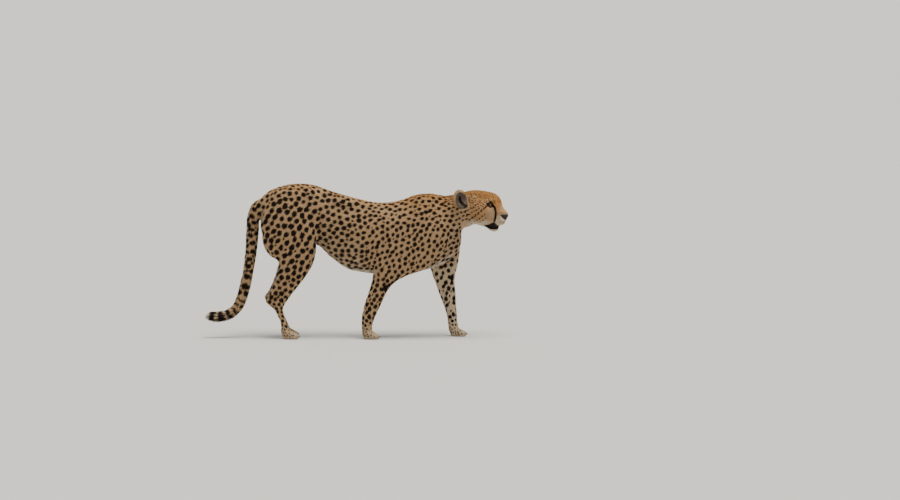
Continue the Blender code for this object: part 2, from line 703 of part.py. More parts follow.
def ear(side, word, flesh):
    """A round, cupped ear whose foot follows the skull and nape."""
    facing = mirrored(EAR_FACING, side)
    rise = mirrored(EAR_RISE, side)
    rise = (rise - facing * rise.dot(facing)).normalized()
    across = rise.cross(facing)
    turn = Matrix((across, rise, facing)).transposed().to_4x4()
    place = Matrix.Translation(mirrored(EAR_CENTRE, side)) @ turn
    bm = bmesh.new()
    bmesh.ops.create_icosphere(
        bm, subdivisions=3, radius=1.0,
        matrix=place @ Matrix.Diagonal((EAR_HALF_WIDTH, EAR_HALF_HEIGHT, EAR_DEPTH, 1)),
    )
    made = new_object(f"{word}_ear", bm, FUR_MATERIAL)
    root = bmesh.new()
    bmesh.ops.create_icosphere(
        root, subdivisions=2, radius=1.0,
        matrix=Matrix.Translation(mirrored(EAR_ROOT, side)) @ Matrix.Diagonal((*EAR_ROOT_RADII, 1)),
    )
    boolean(made, new_object("root", root), "UNION")
    hollow = bmesh.new()
    bmesh.ops.create_icosphere(
        hollow, subdivisions=3, radius=1.0,
        matrix=place
        @ Matrix.Translation(EAR_HOLLOW_PLACE)
        @ Matrix.Diagonal((
            EAR_HALF_WIDTH - EAR_WALL * 0.6, EAR_HALF_HEIGHT - EAR_WALL, EAR_DEPTH * EAR_HOLLOW_DEPTH, 1,
        )),
    )
    boolean(made, new_object("hollow", hollow), "DIFFERENCE")
    boolean(made, new_object("foot", flesh.copy()), "DIFFERENCE")
    keep_largest(made)
    thin(made, "ear")
    for vertex in made.data.vertices:
        vertex.co += mirrored(EAR_CLEARANCE, side)
    return made


def keep_largest(item):
    """Drops every loose scrap that a Boolean has left beside the main body."""
    bm = bmesh.new()
    bm.from_mesh(item.data)
    bodies = sorted(islands(bm), key=lambda pair: len(pair[1].verts))
    _, largest = bodies.pop()
    bmesh.ops.remove_doubles(largest, verts=largest.verts, dist=WELD)
    bmesh.ops.dissolve_degenerate(largest, edges=largest.edges, dist=WELD)
    bmesh.ops.triangulate(largest, faces=largest.faces)
    largest.to_mesh(item.data)
    for _, scrap in bodies:
        scrap.free()
    largest.free()


def centre_on_floor():
    """Moves every piece so that the middle of the whole box stands over the origin."""
    pieces = [item for item in bpy.data.objects if item.type == "MESH"]
    for axis in (0, 1):
        reach = [vertex.co[axis] for item in pieces for vertex in item.data.vertices]
        middle = (min(reach) + max(reach)) / 2
        for item in pieces:
            for vertex in item.data.vertices:
                vertex.co[axis] -= middle


def main():
    clear_scene()
    flesh = fused_flesh()
    nodes = parted_body(flesh.copy())
    parted_mouth(nodes)
    made = {}
    for name, region in nodes.items():
        made[name] = new_object(name, region.bm, FUR_MATERIAL)
        thin(made[name], name.removeprefix("left_").removeprefix("right_"))
        flattened(made[name], region.flats)
    add_nose(made["head"])
    add_eyes(made["head"])
    for side, word in ((RIGHT, "right"), (LEFT, "left")):
        ear(side, word, flesh)
    flesh.free()
    for name, (knuckle, side) in paws().items():
        for rank in range(4):
            boolean(made[name], claw(knuckle, side, rank), "UNION")
    centre_on_floor()


main()
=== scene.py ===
"""Looks of a life-size cheetah that walks with its head low: skin, coat, eyes, nose, claws.

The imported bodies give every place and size. One skin is fused from the bodies of flesh and drawn
in by the depth of the coat, and tufts of hair, whose roots carry the skin's own markings, bring
the outline back out to the solids.
"""

import json
import logging
import math
from dataclasses import dataclass, field, fields
from enum import Enum

import bmesh
import bpy
import numpy as np
from mathutils import Matrix, Vector, kdtree
from mathutils.bvhtree import BVHTree

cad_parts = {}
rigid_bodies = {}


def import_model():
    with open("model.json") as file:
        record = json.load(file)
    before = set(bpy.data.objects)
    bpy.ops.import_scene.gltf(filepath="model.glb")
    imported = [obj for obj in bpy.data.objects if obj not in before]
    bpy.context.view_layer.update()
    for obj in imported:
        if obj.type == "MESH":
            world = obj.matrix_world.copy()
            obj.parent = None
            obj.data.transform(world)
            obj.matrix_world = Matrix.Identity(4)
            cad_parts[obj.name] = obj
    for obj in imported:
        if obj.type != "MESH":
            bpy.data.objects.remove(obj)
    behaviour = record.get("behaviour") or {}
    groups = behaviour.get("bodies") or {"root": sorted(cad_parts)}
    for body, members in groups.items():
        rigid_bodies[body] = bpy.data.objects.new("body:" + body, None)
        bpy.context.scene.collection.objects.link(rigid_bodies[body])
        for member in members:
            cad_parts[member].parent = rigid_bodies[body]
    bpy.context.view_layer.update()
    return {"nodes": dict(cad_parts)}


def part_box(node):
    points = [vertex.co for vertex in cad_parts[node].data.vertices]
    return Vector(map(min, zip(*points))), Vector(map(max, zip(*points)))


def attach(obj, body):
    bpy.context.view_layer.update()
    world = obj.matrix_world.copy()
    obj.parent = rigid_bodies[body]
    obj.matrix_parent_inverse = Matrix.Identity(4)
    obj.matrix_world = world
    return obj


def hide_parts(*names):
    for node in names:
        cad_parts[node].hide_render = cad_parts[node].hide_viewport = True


for leftover in list(bpy.data.objects):
    bpy.data.objects.remove(leftover, do_unlink=True)
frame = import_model()

LOG = logging.getLogger("cheetah")
BODY = "root"
SIDES = {"right": -1.0, "left": 1.0}
TORSO = ("chest", "abdomen", "rump")
TAIL_END = ("tail_middle", "tail_tip")
SEED = 7
FULL_TURN = 2 * math.pi
CENTIMETRES = 100
MILLIMETRE = 0.001
TOE_GAP = 0.0162
MERGING = 1e-5  # how near two points of a solid count as one

Array = np.ndarray
BMesh = bmesh.types.BMesh
Mesh = bpy.types.Mesh
Thing = bpy.types.Object
Material = bpy.types.Material
Outlet = bpy.types.NodeSocket
Pair = tuple[float, float]
Triple = tuple[float, float, float]
Line = tuple[tuple[float, ...], ...]


# --- Small helpers ---


def ramp(values: Array, start: float, end: float) -> Array:
    """Smooth step of the values, from 0 at start to 1 at end, which may lie below start."""
    share = np.clip((values - start) / (end - start), 0.0, 1.0)
    return share * share * (3.0 - 2.0 * share)


def lengths(vectors: Array) -> Array:
    """The length of each vector."""
    return np.linalg.norm(vectors, axis=1)


def unit(vectors: Array) -> Array:
    """The vectors at length 1."""
    return vectors / np.maximum(np.linalg.norm(vectors, axis=-1, keepdims=True), 1e-12)


def middle(node: str) -> Array:
    """The middle of a CAD node's box."""
    low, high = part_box(node)
    return np.array((low + high) / 2)


def paws() -> list[tuple[str, float, Vector, Vector]]:
    """Each paw's name, its side's sign and the two corners of its box."""
    names = [(f"{side}_{paw}", way) for side, way in SIDES.items() for paw in ("fore_paw", "hind_paw")]
    return [(name, way, *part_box(name)) for name, way in names]


def ripple(points: Array, size: float, seed: int, waves: int = 7) -> Array:
    """A smooth, patternless wobble over space, from about -1 to 1.

    Args:
        points: places, one to a row.
        size: the length of a typical wave, in metres.
        seed: picks the pattern.
        waves: how many waves are added up.

    Returns:
        One value for each point.
    """
    draw = np.random.default_rng(seed)
    ways = unit(draw.normal(size=(waves, 3))) * draw.uniform(0.7, 1.5, (waves, 1)) * FULL_TURN / size
    phases = draw.uniform(0, FULL_TURN, waves)
    return np.sin(points @ ways.T + phases).sum(1) / 3.2


def new_object(name: str, mesh: Mesh) -> Thing:
    """A scene object that shows the mesh, at the origin."""
    made = bpy.data.objects.new(name, mesh)
    bpy.context.scene.collection.objects.link(made)
    return made


def object_from(name: str, bm: BMesh) -> Thing:
    """A scene object that takes the bmesh over, shaded smooth.

    Args:
        name: what the object is called.
        bm: its shape, which is freed.

    Returns:
        The object.
    """
    mesh = bpy.data.meshes.new(name)
    bm.to_mesh(mesh)
    bm.free()
    mesh.shade_smooth()
    return new_object(name, mesh)


def closed_object(name: str, bm: BMesh) -> Thing:
    """A scene object of a closed bmesh, its faces turned outwards."""
    bmesh.ops.recalc_face_normals(bm, faces=bm.faces)
    return object_from(name, bm)


def mounted(piece: Thing, finish: Material, slot: str, *replaced: str) -> None:
    """Dresses a finished piece and rides it on the body.

    Args:
        piece: the piece's object.
        finish: its material.
        slot: not used.
        replaced: the CAD nodes that it stands for.
    """
    piece.data.materials.append(finish)
    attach(piece, BODY)
    if replaced:
        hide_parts(*replaced)
    LOG.info("%s: %d faces", piece.name, len(piece.data.polygons))


def rows_of(items: bpy.types.bpy_prop_collection, key: str) -> Array:
    """One vector of each item, one to a row."""
    flat = np.empty(len(items) * 3, np.float32)
    items.foreach_get(key, flat)
    return flat.reshape(-1, 3).astype(float)


def points_of(mesh: Mesh) -> Array:
    """The mesh's points, one to a row."""
    return rows_of(mesh.vertices, "co")


def normals_of(mesh: Mesh) -> Array:
    """The mesh's point normals, one to a row."""
    return rows_of(mesh.vertex_normals, "vector")


def set_points(mesh: Mesh, points: Array) -> None:
    """Moves the mesh's points."""
    mesh.vertices.foreach_set("co", points.astype(np.float32).ravel())
    mesh.update()


def swelled(node: str, swell: float) -> BMesh:
    """A copy of a CAD node, merged and swelled.

    Args:
        node: the node's name.
        swell: how far its points move out.

    Returns:
        The copy.
    """
    bm = bmesh.new()
    bm.from_mesh(frame["nodes"][node].data)
    bmesh.ops.remove_doubles(bm, verts=bm.verts, dist=MERGING)
    bm.normal_update()
    for vertex in bm.verts:
        vertex.co += vertex.normal * swell
    return bm


def evaluated(item: Thing) -> Mesh:
    """The object's mesh with its modifiers done, the object itself being removed."""
    graph = bpy.context.evaluated_depsgraph_get()
    mesh = bpy.data.meshes.new_from_object(item.evaluated_get(graph))
    bpy.data.objects.remove(item, do_unlink=True)
    return mesh


def fused(bm: BMesh, voxel: float) -> Mesh:
    """The bmesh's overlapping bodies made one, at the fineness of the voxel.

    Args:
        bm: the bodies, freed afterwards.
        voxel: the size of a step.

    Returns:
        One closed mesh.
    """
    body = object_from("fusing", bm)
    remesh = body.modifiers.new("fuse", "REMESH")
    remesh.mode = "VOXEL"
    remesh.voxel_size = voxel
    return evaluated(body)


def tree_of(points: Array) -> kdtree.KDTree:
    """A tree that finds the points near a place.

    Args:
        points: one row for each.

    Returns:
        The tree, ready to be asked.
    """
    tree = kdtree.KDTree(len(points))
    for i, point in enumerate(points.tolist()):
        tree.insert(point, i)
    tree.balance()
    return tree


def faces_of(nodes: list[str]) -> tuple[BVHTree, list[str]]:
    """The faces of some CAD nodes, to find the nearest of.

    Args:
        nodes: the nodes' names.

    Returns:
        The tree of faces, and the node that each face belongs to.
    """
    corners: list[Vector] = []
    faces: list[tuple[int, ...]] = []
    owners: list[str] = []
    for node in nodes:
        mesh = frame["nodes"][node].data
        first = len(corners)
        corners.extend(vertex.co for vertex in mesh.vertices)
        faces.extend(tuple(first + i for i in polygon.vertices) for polygon in mesh.polygons)
        owners.extend([node] * len(mesh.polygons))
    return BVHTree.FromPolygons(corners, faces), owners


# --- How the coat grows, region by region ---


@dataclass(frozen=True)
class Growth:
    """The coat of one region: which way it lies, and in millimetres its depth, tufts and spots."""

    lie: Triple
    depth: float
    length: float
    width: float
    spacing: float  # from tuft to tuft
    spot: float  # radius of a spot
    gap: float  # from spot to spot
    group: str


GROWTHS = {
    "head": Growth((-1, 0, 0), 1.5, 6, 1.5, 1.65, 3.1, 12.5, "head"),
    "lower_jaw": Growth((-1, 0, -0.2), 1.5, 7, 1.6, 1.8, 1.5, 20, "head"),
    "ear": Growth((-0.2, 0, 0.9), 0.9, 6, 1.5, 1.8, 1.5, 30, "head"),
    "neck": Growth((-0.9, 0, -0.3), 3.2, 10, 2.4, 2.35, 6.6, 21.5, "front"),
    "chest": Growth((-0.9, 0, -0.3), 3.6, 10.5, 2.6, 2.55, 10, 29, "front"),
    "abdomen": Growth((-0.95, 0, -0.3), 4, 10.8, 2.7, 2.6, 11.7, 32, "middle"),
    "rump": Growth((-0.9, 0, -0.4), 3.6, 10.5, 2.6, 2.55, 11.4, 30.8, "rear"),
    "upper_foreleg": Growth((-0.5, 0, -0.8), 3.2, 9.8, 2.5, 2.45, 10, 28.4, "middle"),
    "forearm": Growth((-0.25, 0, -1), 2.4, 9, 2.1, 2.2, 10.6, 28.4, "legs"),
    "fore_paw": Growth((0.6, 0, -0.8), 1.2, 6, 1.6, 2, 4, 15, "legs"),
    "thigh": Growth((-0.6, 0, -0.8), 3.6, 10.5, 2.6, 2.5, 14, 36.4, "rear"),
    "lower_hind_leg": Growth((-0.5, 0, -0.9), 2.6, 9.5, 2.2, 2.2, 11.8, 30, "legs"),
    "hind_foot": Growth((0.3, 0, -1), 1.8, 7.5, 1.8, 2.05, 8.8, 24, "legs"),
    "hind_paw": Growth((0.6, 0, -0.8), 1.2, 6, 1.6, 2, 4, 15, "legs"),
    "tail_root": Growth((-0.15, 0, -1), 4.2, 14, 2.6, 2.5, 13.4, 32, "tail"),
    "tail_middle": Growth((-0.45, 0, -0.9), 4.2, 15, 2.6, 2.45, 18.2, 43, "tail"),
    "tail_tip": Growth((-1, 0, 0), 5, 19, 2.8, 2.4, 10, 30, "tail"),
}
NAMES = list(GROWTHS)
PAIRED = ("ear", "upper_foreleg", "forearm", "fore_paw", "thigh", "lower_hind_leg", "hind_foot", "hind_paw")


@dataclass
class Places:
    """Places on the skin, with the skin's normals and the share of each region there."""

    points: Array
    normals: Array
    shares: Array

    @property
    def up(self) -> Array:
        """How much the skin faces up."""
        return self.normals[:, 2]

    @property
    def aft(self) -> Array:
        """How much the skin faces back."""
        return -self.normals[:, 0]

    @property
    def inward(self) -> Array:
        """How much the skin faces the middle plane."""
        return -self.normals[:, 1] * np.sign(self.points[:, 1])

    @property
    def side_view(self) -> Array:
        """How far ahead and how high each place is."""
        return self.points[:, [0, 2]]

    def share(self, *kinds: str) -> Array:
        """The share of some regions taken together."""
        return self.shares[:, [NAMES.index(kind) for kind in kinds]].sum(1)

    def grown(self, size: str) -> Array:
        """One of a growth's sizes in metres, mixed by the share of each region."""
        return self.shares @ (np.array([getattr(GROWTHS[name], size) for name in NAMES]) * MILLIMETRE)

    def only(self, index: Array) -> "Places":
        """Some of the places alone."""
        return type(self)(*(getattr(self, item.name)[index] for item in fields(self)))

    @staticmethod
    def together(parts: list["Places"]) -> "Places":
        """The places of several parts, one part after the other."""
        columns = zip(*((part.points, part.normals, part.shares) for part in parts))
        return Places(*(np.concatenate(column) for column in columns))


# --- The skin ---


@dataclass(frozen=True)
class Patch:
    """A stretch of skin with a mesh of its own fineness, and the flat cut where it meets the rest."""

    nodes: tuple[str, ...]
    voxel: float
    passes: int
    point: Vector = Vector()
    normal: Vector = Vector()  # towards the fine patch
    reach: float = 0.0  # how far from the point the limb's outline may lie


@dataclass(frozen=True)
class Mouth:
    """The opening between the lips: the corner, and how both lips slope down ahead of it."""

    corner: Pair = (0.6382, 0.5670)
    upper_slope: float = -0.055
    lower_slope: float = -0.165
    slit: Triple = (0.16, 0.3, 0.0004)  # length, width and thickness of what is cut out

    def shut(self, points: Array) -> Array:
        """How far each point of the jaw is lifted to close the mouth."""
        return (self.upper_slope - self.lower_slope) * np.maximum(points[:, 0] - self.corner[0], 0.0)

    def upper_lip(self, points: Array) -> Array:
        """The height of the upper lip's edge at each point."""
        return self.corner[1] + self.upper_slope * (points[:, 0] - self.corner[0])

    def edge_distance(self, points: Array) -> Array:
        """How far each point lies from the nearer lip's edge; large well behind the corner.

        Args:
            points: the skin's points.

        Returns:
            One distance for each.
        """
        x, _, z = points.T
        upper = self.upper_lip(points)
        lower = upper - self.shut(points)
        rise = np.minimum(np.abs(z - upper), np.abs(z - lower))
        behind = np.maximum(self.corner[0] - x, 0.0)
        return np.hypot(rise, behind) + np.where(x < self.corner[0] - 0.03, 1.0, 0.0)

    def cutter(self) -> Thing:
        """A thin plate along the closed lips, ahead of the corner.

        Returns:
            The plate, for cutting only.
        """
        plate = bmesh.new()
        bmesh.ops.create_cube(plate, size=1.0)
        bmesh.ops.scale(plate, verts=plate.verts, vec=self.slit)
        bmesh.ops.translate(plate, verts=plate.verts, vec=(self.slit[0] / 2, 0, 0))
        turn = Matrix.Rotation(-math.atan(self.upper_slope), 3, "Y")
        bmesh.ops.rotate(plate, verts=plate.verts, matrix=turn)
        bmesh.ops.translate(plate, verts=plate.verts, vec=(self.corner[0], 0, self.corner[1]))
        return object_from("mouth_plate", plate)


class Net:
    """The edges of a mesh, over which values are blurred."""

    def __init__(self, mesh: Mesh) -> None:
        """Reads the mesh's edges.

        Args:
            mesh: the one whose values are blurred.
        """
        self.count = len(mesh.vertices)
        edges = np.empty(len(mesh.edges) * 2, np.int32)
        mesh.edges.foreach_get("vertices", edges)
        self.start, self.end = edges.reshape(-1, 2).T
        self.degree = np.maximum(np.bincount(edges, minlength=self.count), 1)

    def blurred(self, values: Array, passes: int) -> Array:
        """The values averaged with their neighbours.

        Args:
            values: one number or row for each point.
            passes: how many rounds.

        Returns:
            The blurred values.
        """
        columns = values.reshape(self.count, -1)
        for _ in range(passes):
            around = np.stack([
                np.bincount(self.start, column[self.end], self.count)
                + np.bincount(self.end, column[self.start], self.count)
                for column in columns.T
            ], 1)
            columns = (columns + around / self.degree[:, None]) / 2
        return columns.reshape(values.shape)

    def smoothed(self, points: Array, passes: int) -> Array:
        """The points smoothed without shrinking: what blurring takes away is given back blurred."""
        smooth = self.blurred(points, passes)
        for _ in range(2):
            smooth = smooth + self.blurred(points - smooth, passes)
        return smooth


@dataclass
class Skin:
    """One closed skin over all the flesh, finer on the head and paws."""

    lap: float = 0.0005  # how far the bodies are swelled, so that they fuse over their gaps
    seam: float = 0.0026  # half the width of the band that bridges two patches
    body_voxel: float = 0.0062
    head_voxel: float = 0.0028
    paw_voxel: float = 0.0031
    lip_merge: float = 0.00018
    lip_depth: float = 0.0004
    ear_trim: float = 0.13
    ear_root: float = 0.030  # how high over the ear's foot the trimming begins
    sole: float = 0.0015  # below this height the skin stands on the floor
    lid_reach: float = 0.027  # how far from an eye's middle the mesh is made finer
    bridge_end: Pair = (0.727, 0.637)  # the crease ahead of which the nose begins
    mouth: Mouth = Mouth()
    labels: Array = field(init=False)  # the region of each point, by its place in NAMES
    lies: Array = field(init=False)
    shares: Array = field(init=False)
    object: Thing = field(init=False)

    def flesh(self) -> list[str]:
        """The CAD nodes that the skin stands for."""
        return [name for name in frame["nodes"] if not name.endswith("_eye") and name != "nose"]

    def patches(self) -> dict[str, Patch]:
        """Every fine patch by its name.

        Returns:
            The patches of the head and the four paws.
        """
        low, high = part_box("neck")
        face = ("head", "lower_jaw", "nose", "neck", "left_ear", "right_ear", "left_eye", "right_eye")
        behind = (low + high) / 2 - Vector((0.012, 0, 0))
        ahead = Vector((0.92, 0, 0.39)).normalized()
        found = {"head": Patch(face, self.head_voxel, 20, behind, ahead, 0.13)}
        for name, _, low, high in paws():
            above = name.replace("fore_paw", "forearm").replace("hind_paw", "hind_foot")
            point = Vector(((low.x + high.x) / 2, (low.y + high.y) / 2, high.z + 0.018))
            found[name] = Patch((name, above), self.paw_voxel, 7, point, Vector((0, 0, -1)), 0.12)
        return found

    def grown_together(self, patch: Patch) -> Mesh:
        """The patch's nodes swelled, fused at its fineness and smoothed.

        Args:
            patch: which nodes, how fine, and how often they are smoothed.

        Returns:
            One closed mesh.
        """
        together = bmesh.new()
        for name in patch.nodes:
            part = swelled(name, self.lap)
            if name == "lower_jaw":
                lifts = self.mouth.shut(np.array([vertex.co for vertex in part.verts]))
                for vertex, lift in zip(part.verts, lifts):
                    vertex.co.z += lift
            mesh = bpy.data.meshes.new("part")
            part.to_mesh(mesh)
            part.free()
            together.from_mesh(mesh)
            bpy.data.meshes.remove(mesh)
        mesh = fused(together, patch.voxel)
        set_points(mesh, Net(mesh).smoothed(points_of(mesh), patch.passes))
        return mesh

    def parted_lips(self, mesh: Mesh) -> Mesh:
        """Slits the shut mouth, and lets the jaw down again.

        Args:
            mesh: the head's skin with the mouth shut.

        Returns:
            The skin with the mouth open.
        """
        face = new_object("face", mesh)
        cutter = self.mouth.cutter()
        slit = face.modifiers.new("slit", "BOOLEAN")
        slit.operation = "DIFFERENCE"
        slit.object = cutter
        made = evaluated(face)
        bpy.data.objects.remove(cutter, do_unlink=True)
        clean = bmesh.new()
        clean.from_mesh(made)
        bmesh.ops.remove_doubles(clean, verts=clean.verts, dist=self.lip_merge)
        bmesh.ops.dissolve_degenerate(clean, edges=clean.edges, dist=self.lip_merge)
        clean.to_mesh(made)
        clean.free()
        points = points_of(made)
        jaw = (points[:, 0] > self.mouth.corner[0]) & (points[:, 2] < self.mouth.upper_lip(points))
        points[:, 2] -= np.where(jaw, self.mouth.shut(points), 0.0)
        set_points(made, points)
        return made

    @staticmethod
    def keep_largest(bm: BMesh) -> None:
        """Drops every loose scrap beside the main body.

        Args:
            bm: the skin, changed in place.
        """
        left = set(bm.verts)
        largest: set = set()
        while left:
            reached = {left.pop()}
            front = list(reached)
            while front:
                nearby = {edge.other_vert(vertex) for vertex in front for edge in vertex.link_edges}
                front = [vertex for vertex in nearby if vertex not in reached]
                reached.update(front)
            left -= reached
            largest = max(largest, reached, key=len)
        scraps = [vertex for vertex in bm.verts if vertex not in largest]
        bmesh.ops.delete(bm, geom=scraps, context="VERTS")

    def opened(self, bm: BMesh, cut: Patch, inner: bool) -> None:
        """Cuts a bmesh open at a limb, and drops what lies past the cut.

        Args:
            bm: the skin to open.
            cut: the patch that meets the rest there.
            inner: true on the fine patch, false on the coarse one.
        """
        towards = cut.normal if inner else -cut.normal
        near = [
            face for face in bm.faces
            if inner or (face.calc_center_median() - cut.point).length < cut.reach
        ]
        geometry = dict.fromkeys(item for face in near for item in (*face.verts, *face.edges, face))
        bmesh.ops.bisect_plane(
            bm, geom=list(geometry), dist=1e-6,
            plane_co=cut.point + towards * self.seam, plane_no=towards, clear_inner=True,
        )
        self.keep_largest(bm)

    def bridged(self, bm: BMesh, cut: Patch) -> None:
        """Closes the band between a fine patch and the coarse one.

        Args:
            bm: the skin, changed in place.
            cut: the patch that meets the rest there.
        """
        rims = [
            edge for edge in bm.edges
            if edge.is_boundary
            and all(
                abs((vertex.co - cut.point).dot(cut.normal)) < self.seam * 1.5
                and (vertex.co - cut.point).length < cut.reach
                for vertex in edge.verts
            )
        ]
        bmesh.ops.bridge_loops(bm, edges=rims)

    def joined(self) -> Mesh:
        """The coarse skin with every fine patch bridged into it, and finer lids.

        Returns:
            One closed mesh.
        """
        patches = self.patches()
        coarse = tuple(name for name in self.flesh() if not name.endswith("_ear"))
        whole = bmesh.new()
        whole.from_mesh(self.grown_together(Patch(coarse, self.body_voxel, 18)))
        for cut in patches.values():
            self.opened(whole, cut, False)
        for name, patch in patches.items():
            mesh = self.grown_together(patch)
            if name == "head":
                mesh = self.parted_lips(mesh)
            fine = bmesh.new()
            fine.from_mesh(mesh)
            self.opened(fine, patch, True)
            fine.to_mesh(mesh)
            fine.free()
            whole.from_mesh(mesh)
            bpy.data.meshes.remove(mesh)
        for cut in patches.values():
            self.bridged(whole, cut)
        bmesh.ops.recalc_face_normals(whole, faces=whole.faces)
        for side in SIDES:
            eye = Vector(middle(f"{side}_eye"))
            starts = [(edge, edge.verts[0].co) for edge in whole.edges]
            near = [e for e, co in starts if (co - eye).length < self.lid_reach and co.x > eye.x - 0.004]
            bmesh.ops.subdivide_edges(whole, edges=near, cuts=1, use_grid_fill=True)
        mesh = bpy.data.meshes.new("skin")
        whole.to_mesh(mesh)
        whole.free()
        mesh.shade_smooth()
        return mesh

    def seams_smoothed(self, net: Net, points: Array) -> Array:
        """Smooths the bands round the bridged cuts, and the crease at the end of the bridge.

        Args:
            net: the skin's edges.
            points: the skin's points.

        Returns:
            The moved points.
        """
        share = np.zeros(len(points))
        for cut in self.patches().values():
            away = points - np.array(cut.point)
            along = np.abs(away @ np.array(cut.normal))
            share = np.maximum(share, (1 - ramp(along, 0.012, 0.036)) * (lengths(away) < cut.reach))
        points = points + (net.smoothed(points, 18) - points) * share[:, None]
        crease = 1 - ramp(lengths(points[:, [0, 2]] - self.bridge_end), 0.008, 0.020)
        return points + (net.blurred(points, 10) - points) * crease[:, None]

    def drawn_in(self, net: Net, here: Places) -> Array:
        """The skin's points drawn in by the coat's depth, less at the lips.

        Args:
            net: the skin's edges.
            here: the skin at the solids' outline.

        Returns:
            The moved points.
        """
        depth = here.grown("depth")
        lips = 1 - ramp(self.mouth.edge_distance(here.points), 0.002, 0.008)
        depth = depth + (self.lip_depth - depth) * lips
        drawn = here.points - here.normals * depth[:, None]
        height = here.points[:, 2]
        drawn[:, 2] = np.where(height < self.sole, np.maximum(height, 0.0), np.maximum(drawn[:, 2], 0.0004))
        return drawn + (net.blurred(drawn, 3) - drawn) * lips[:, None]

    def ears_trimmed(self, here: Places) -> Array:
        """The points with the ears' tips lowered to the height of living ears."""
        over = np.maximum(here.points[:, 2] - (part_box("left_ear")[0].z + self.ear_root), 0.0)
        lowered = here.points.copy()
        lowered[:, 2] -= here.share("ear") * over * self.ear_trim
        return lowered

    def lie_of(self, here: Places, net: Net) -> Array:
        """The way the coat points at each point of the skin.

        Args:
            here: the skin's points and normals.
            net: its edges.

        Returns:
            One vector of length 1 for each point, along the skin.
        """
        points, normals = here.points, here.normals
        lies = np.array([GROWTHS[name].lie for name in NAMES])[self.labels]
        on_head = self.labels == NAMES.index("head")
        away = unit(points - middle("nose") + (0.0, 0.0, 0.010))
        lies[on_head] = away[on_head]
        for side, way in SIDES.items():
            low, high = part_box(f"{side}_ear")
            root = np.array(((low.x + high.x) / 2, (low.y + high.y) / 2, low.z + 0.012))
            on_ear = (self.labels == NAMES.index("ear")) & (points[:, 1] * way > 0)
            lies[on_ear] = unit(points - root)[on_ear]
        lies = net.blurred(lies, 30)
        return unit(lies - normals * (lies * normals).sum(1, keepdims=True))

    def places(self) -> Places:
        """The skin's own points, normals and shares."""
        mesh = self.object.data
        return Places(points_of(mesh), normals_of(mesh), self.shares)

    def build(self) -> Thing:
        """Makes the skin, drawn in by the depth of the coat, with its face modelled.

        Returns:
            The skin's object.
        """
        mesh = self.joined()
        net = Net(mesh)
        points = self.seams_smoothed(net, points_of(mesh))
        set_points(mesh, points)
        faces, owners = faces_of(self.flesh())
        kinds = [NAMES.index(owner.removeprefix("left_").removeprefix("right_")) for owner in owners]
        self.labels = np.array([kinds[faces.find_nearest(point)[2]] for point in points])
        self.shares = net.blurred(np.eye(len(NAMES))[self.labels], 16)
        self.object = new_object("skin", mesh)
        set_points(mesh, self.drawn_in(net, Places(points, normals_of(mesh), self.shares)))
        set_points(mesh, self.ears_trimmed(self.places()))
        Relief().shape(mesh)
        Face().shape(mesh)
        self.lies = self.lie_of(self.places(), net)
        return self.object


# --- The body's relief and the face ---


@dataclass(frozen=True)
class Socket:
    """One eye's place and the frame it looks along."""

    side: str
    radius: float = 0.0165
    gaze: Triple = (0.82, 0.57, 0.03)
    half_width: float = 0.86  # angles between the lids
    upper_lid: float = 0.52
    lower_lid: float = 0.46
    slant: float = 0.20

    def centre(self) -> Array:
        """The middle of the eyeball."""
        return middle(f"{self.side}_eye")

    def axes(self) -> tuple[Array, Array, Array]:
        """The gaze, the way to the inner corner, and up, all square to each other.

        Returns:
            Three vectors of length 1.
        """
        way = SIDES[self.side]
        gaze = unit(np.array(self.gaze) * (1, way, 1))
        inner = unit(np.cross(gaze, (0, 0, way)))
        up = np.cross(inner, gaze) * way
        return gaze, inner, up * np.sign(up[2])

    def angles(self, points: Array) -> tuple[Array, Array, Array]:
        """Each point as seen from the middle of the eye.

        Args:
            points: the places looked at.

        Returns:
            The angle towards the inner corner, the angle up, and the distance.
        """
        gaze, inner, up = self.axes()
        away = points - self.centre()
        distance = lengths(away)
        across = np.arctan2(away @ inner, away @ gaze)
        return across, np.arcsin(np.clip(away @ up / np.maximum(distance, 1e-9), -1, 1)), distance

    def opening(self, points: Array) -> Array:
        """Where each point lies about the lids' edge: under 1 between the lids, over 1 outside.

        Args:
            points: one row for each.

        Returns:
            One number for each.
        """
        across, rise, _ = self.angles(points)
        rise = rise + self.slant * across - 0.02
        half_height = np.where(rise > 0, self.upper_lid, self.lower_lid)
        half_height = half_height * (1 - 0.30 * ramp(across, 0.3, 0.9))
        return np.sqrt((np.abs(across) / self.half_width) ** 2.0 + (rise / half_height) ** 2)


@dataclass(frozen=True)
class Dab:
    """A soft push at one place of the left side or the middle, in millimetres."""

    centre: Triple
    radii: Triple
    push: Triple

    def shift(self, points: Array, way: float = 1.0, fade: float = 1.6) -> Array:
        """How the dab moves each point.

        Args:
            points: the places to move.
            way: -1 to mirror the dab to the right side.
            fade: where its push ends, as a share of its radii.

        Returns:
            One shift for each point.
        """
        mirror = np.array((1.0, way, 1.0)) * MILLIMETRE
        away = (points - self.centre * mirror) / (np.array(self.radii) * MILLIMETRE)
        return (1 - ramp(lengths(away), 0.0, fade))[:, None] * self.push * mirror


def nose_distance(points: Array, near: float = 0.045) -> Array:
    """How far each point lies outside the nose's leather; below 0 inside, and 1 m if it isn't near.

    Args:
        points: the places asked about.
        near: how far from the nose they are measured at all.

    Returns:
        One distance for each.
    """
    tree, _ = faces_of(["nose"])
    found = np.full(len(points), 1.0)
    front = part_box("nose")[1].x
    for i in np.flatnonzero(lengths(points - middle("nose")) < near):
        x, y, z = points[i]
        point = Vector((front + (x - front) / Nose.lengthen, y / Nose.widen, z))
        found[i] = tree.find_nearest(point)[3] * (-1 if enclosed(tree, point) else 1)
    return found


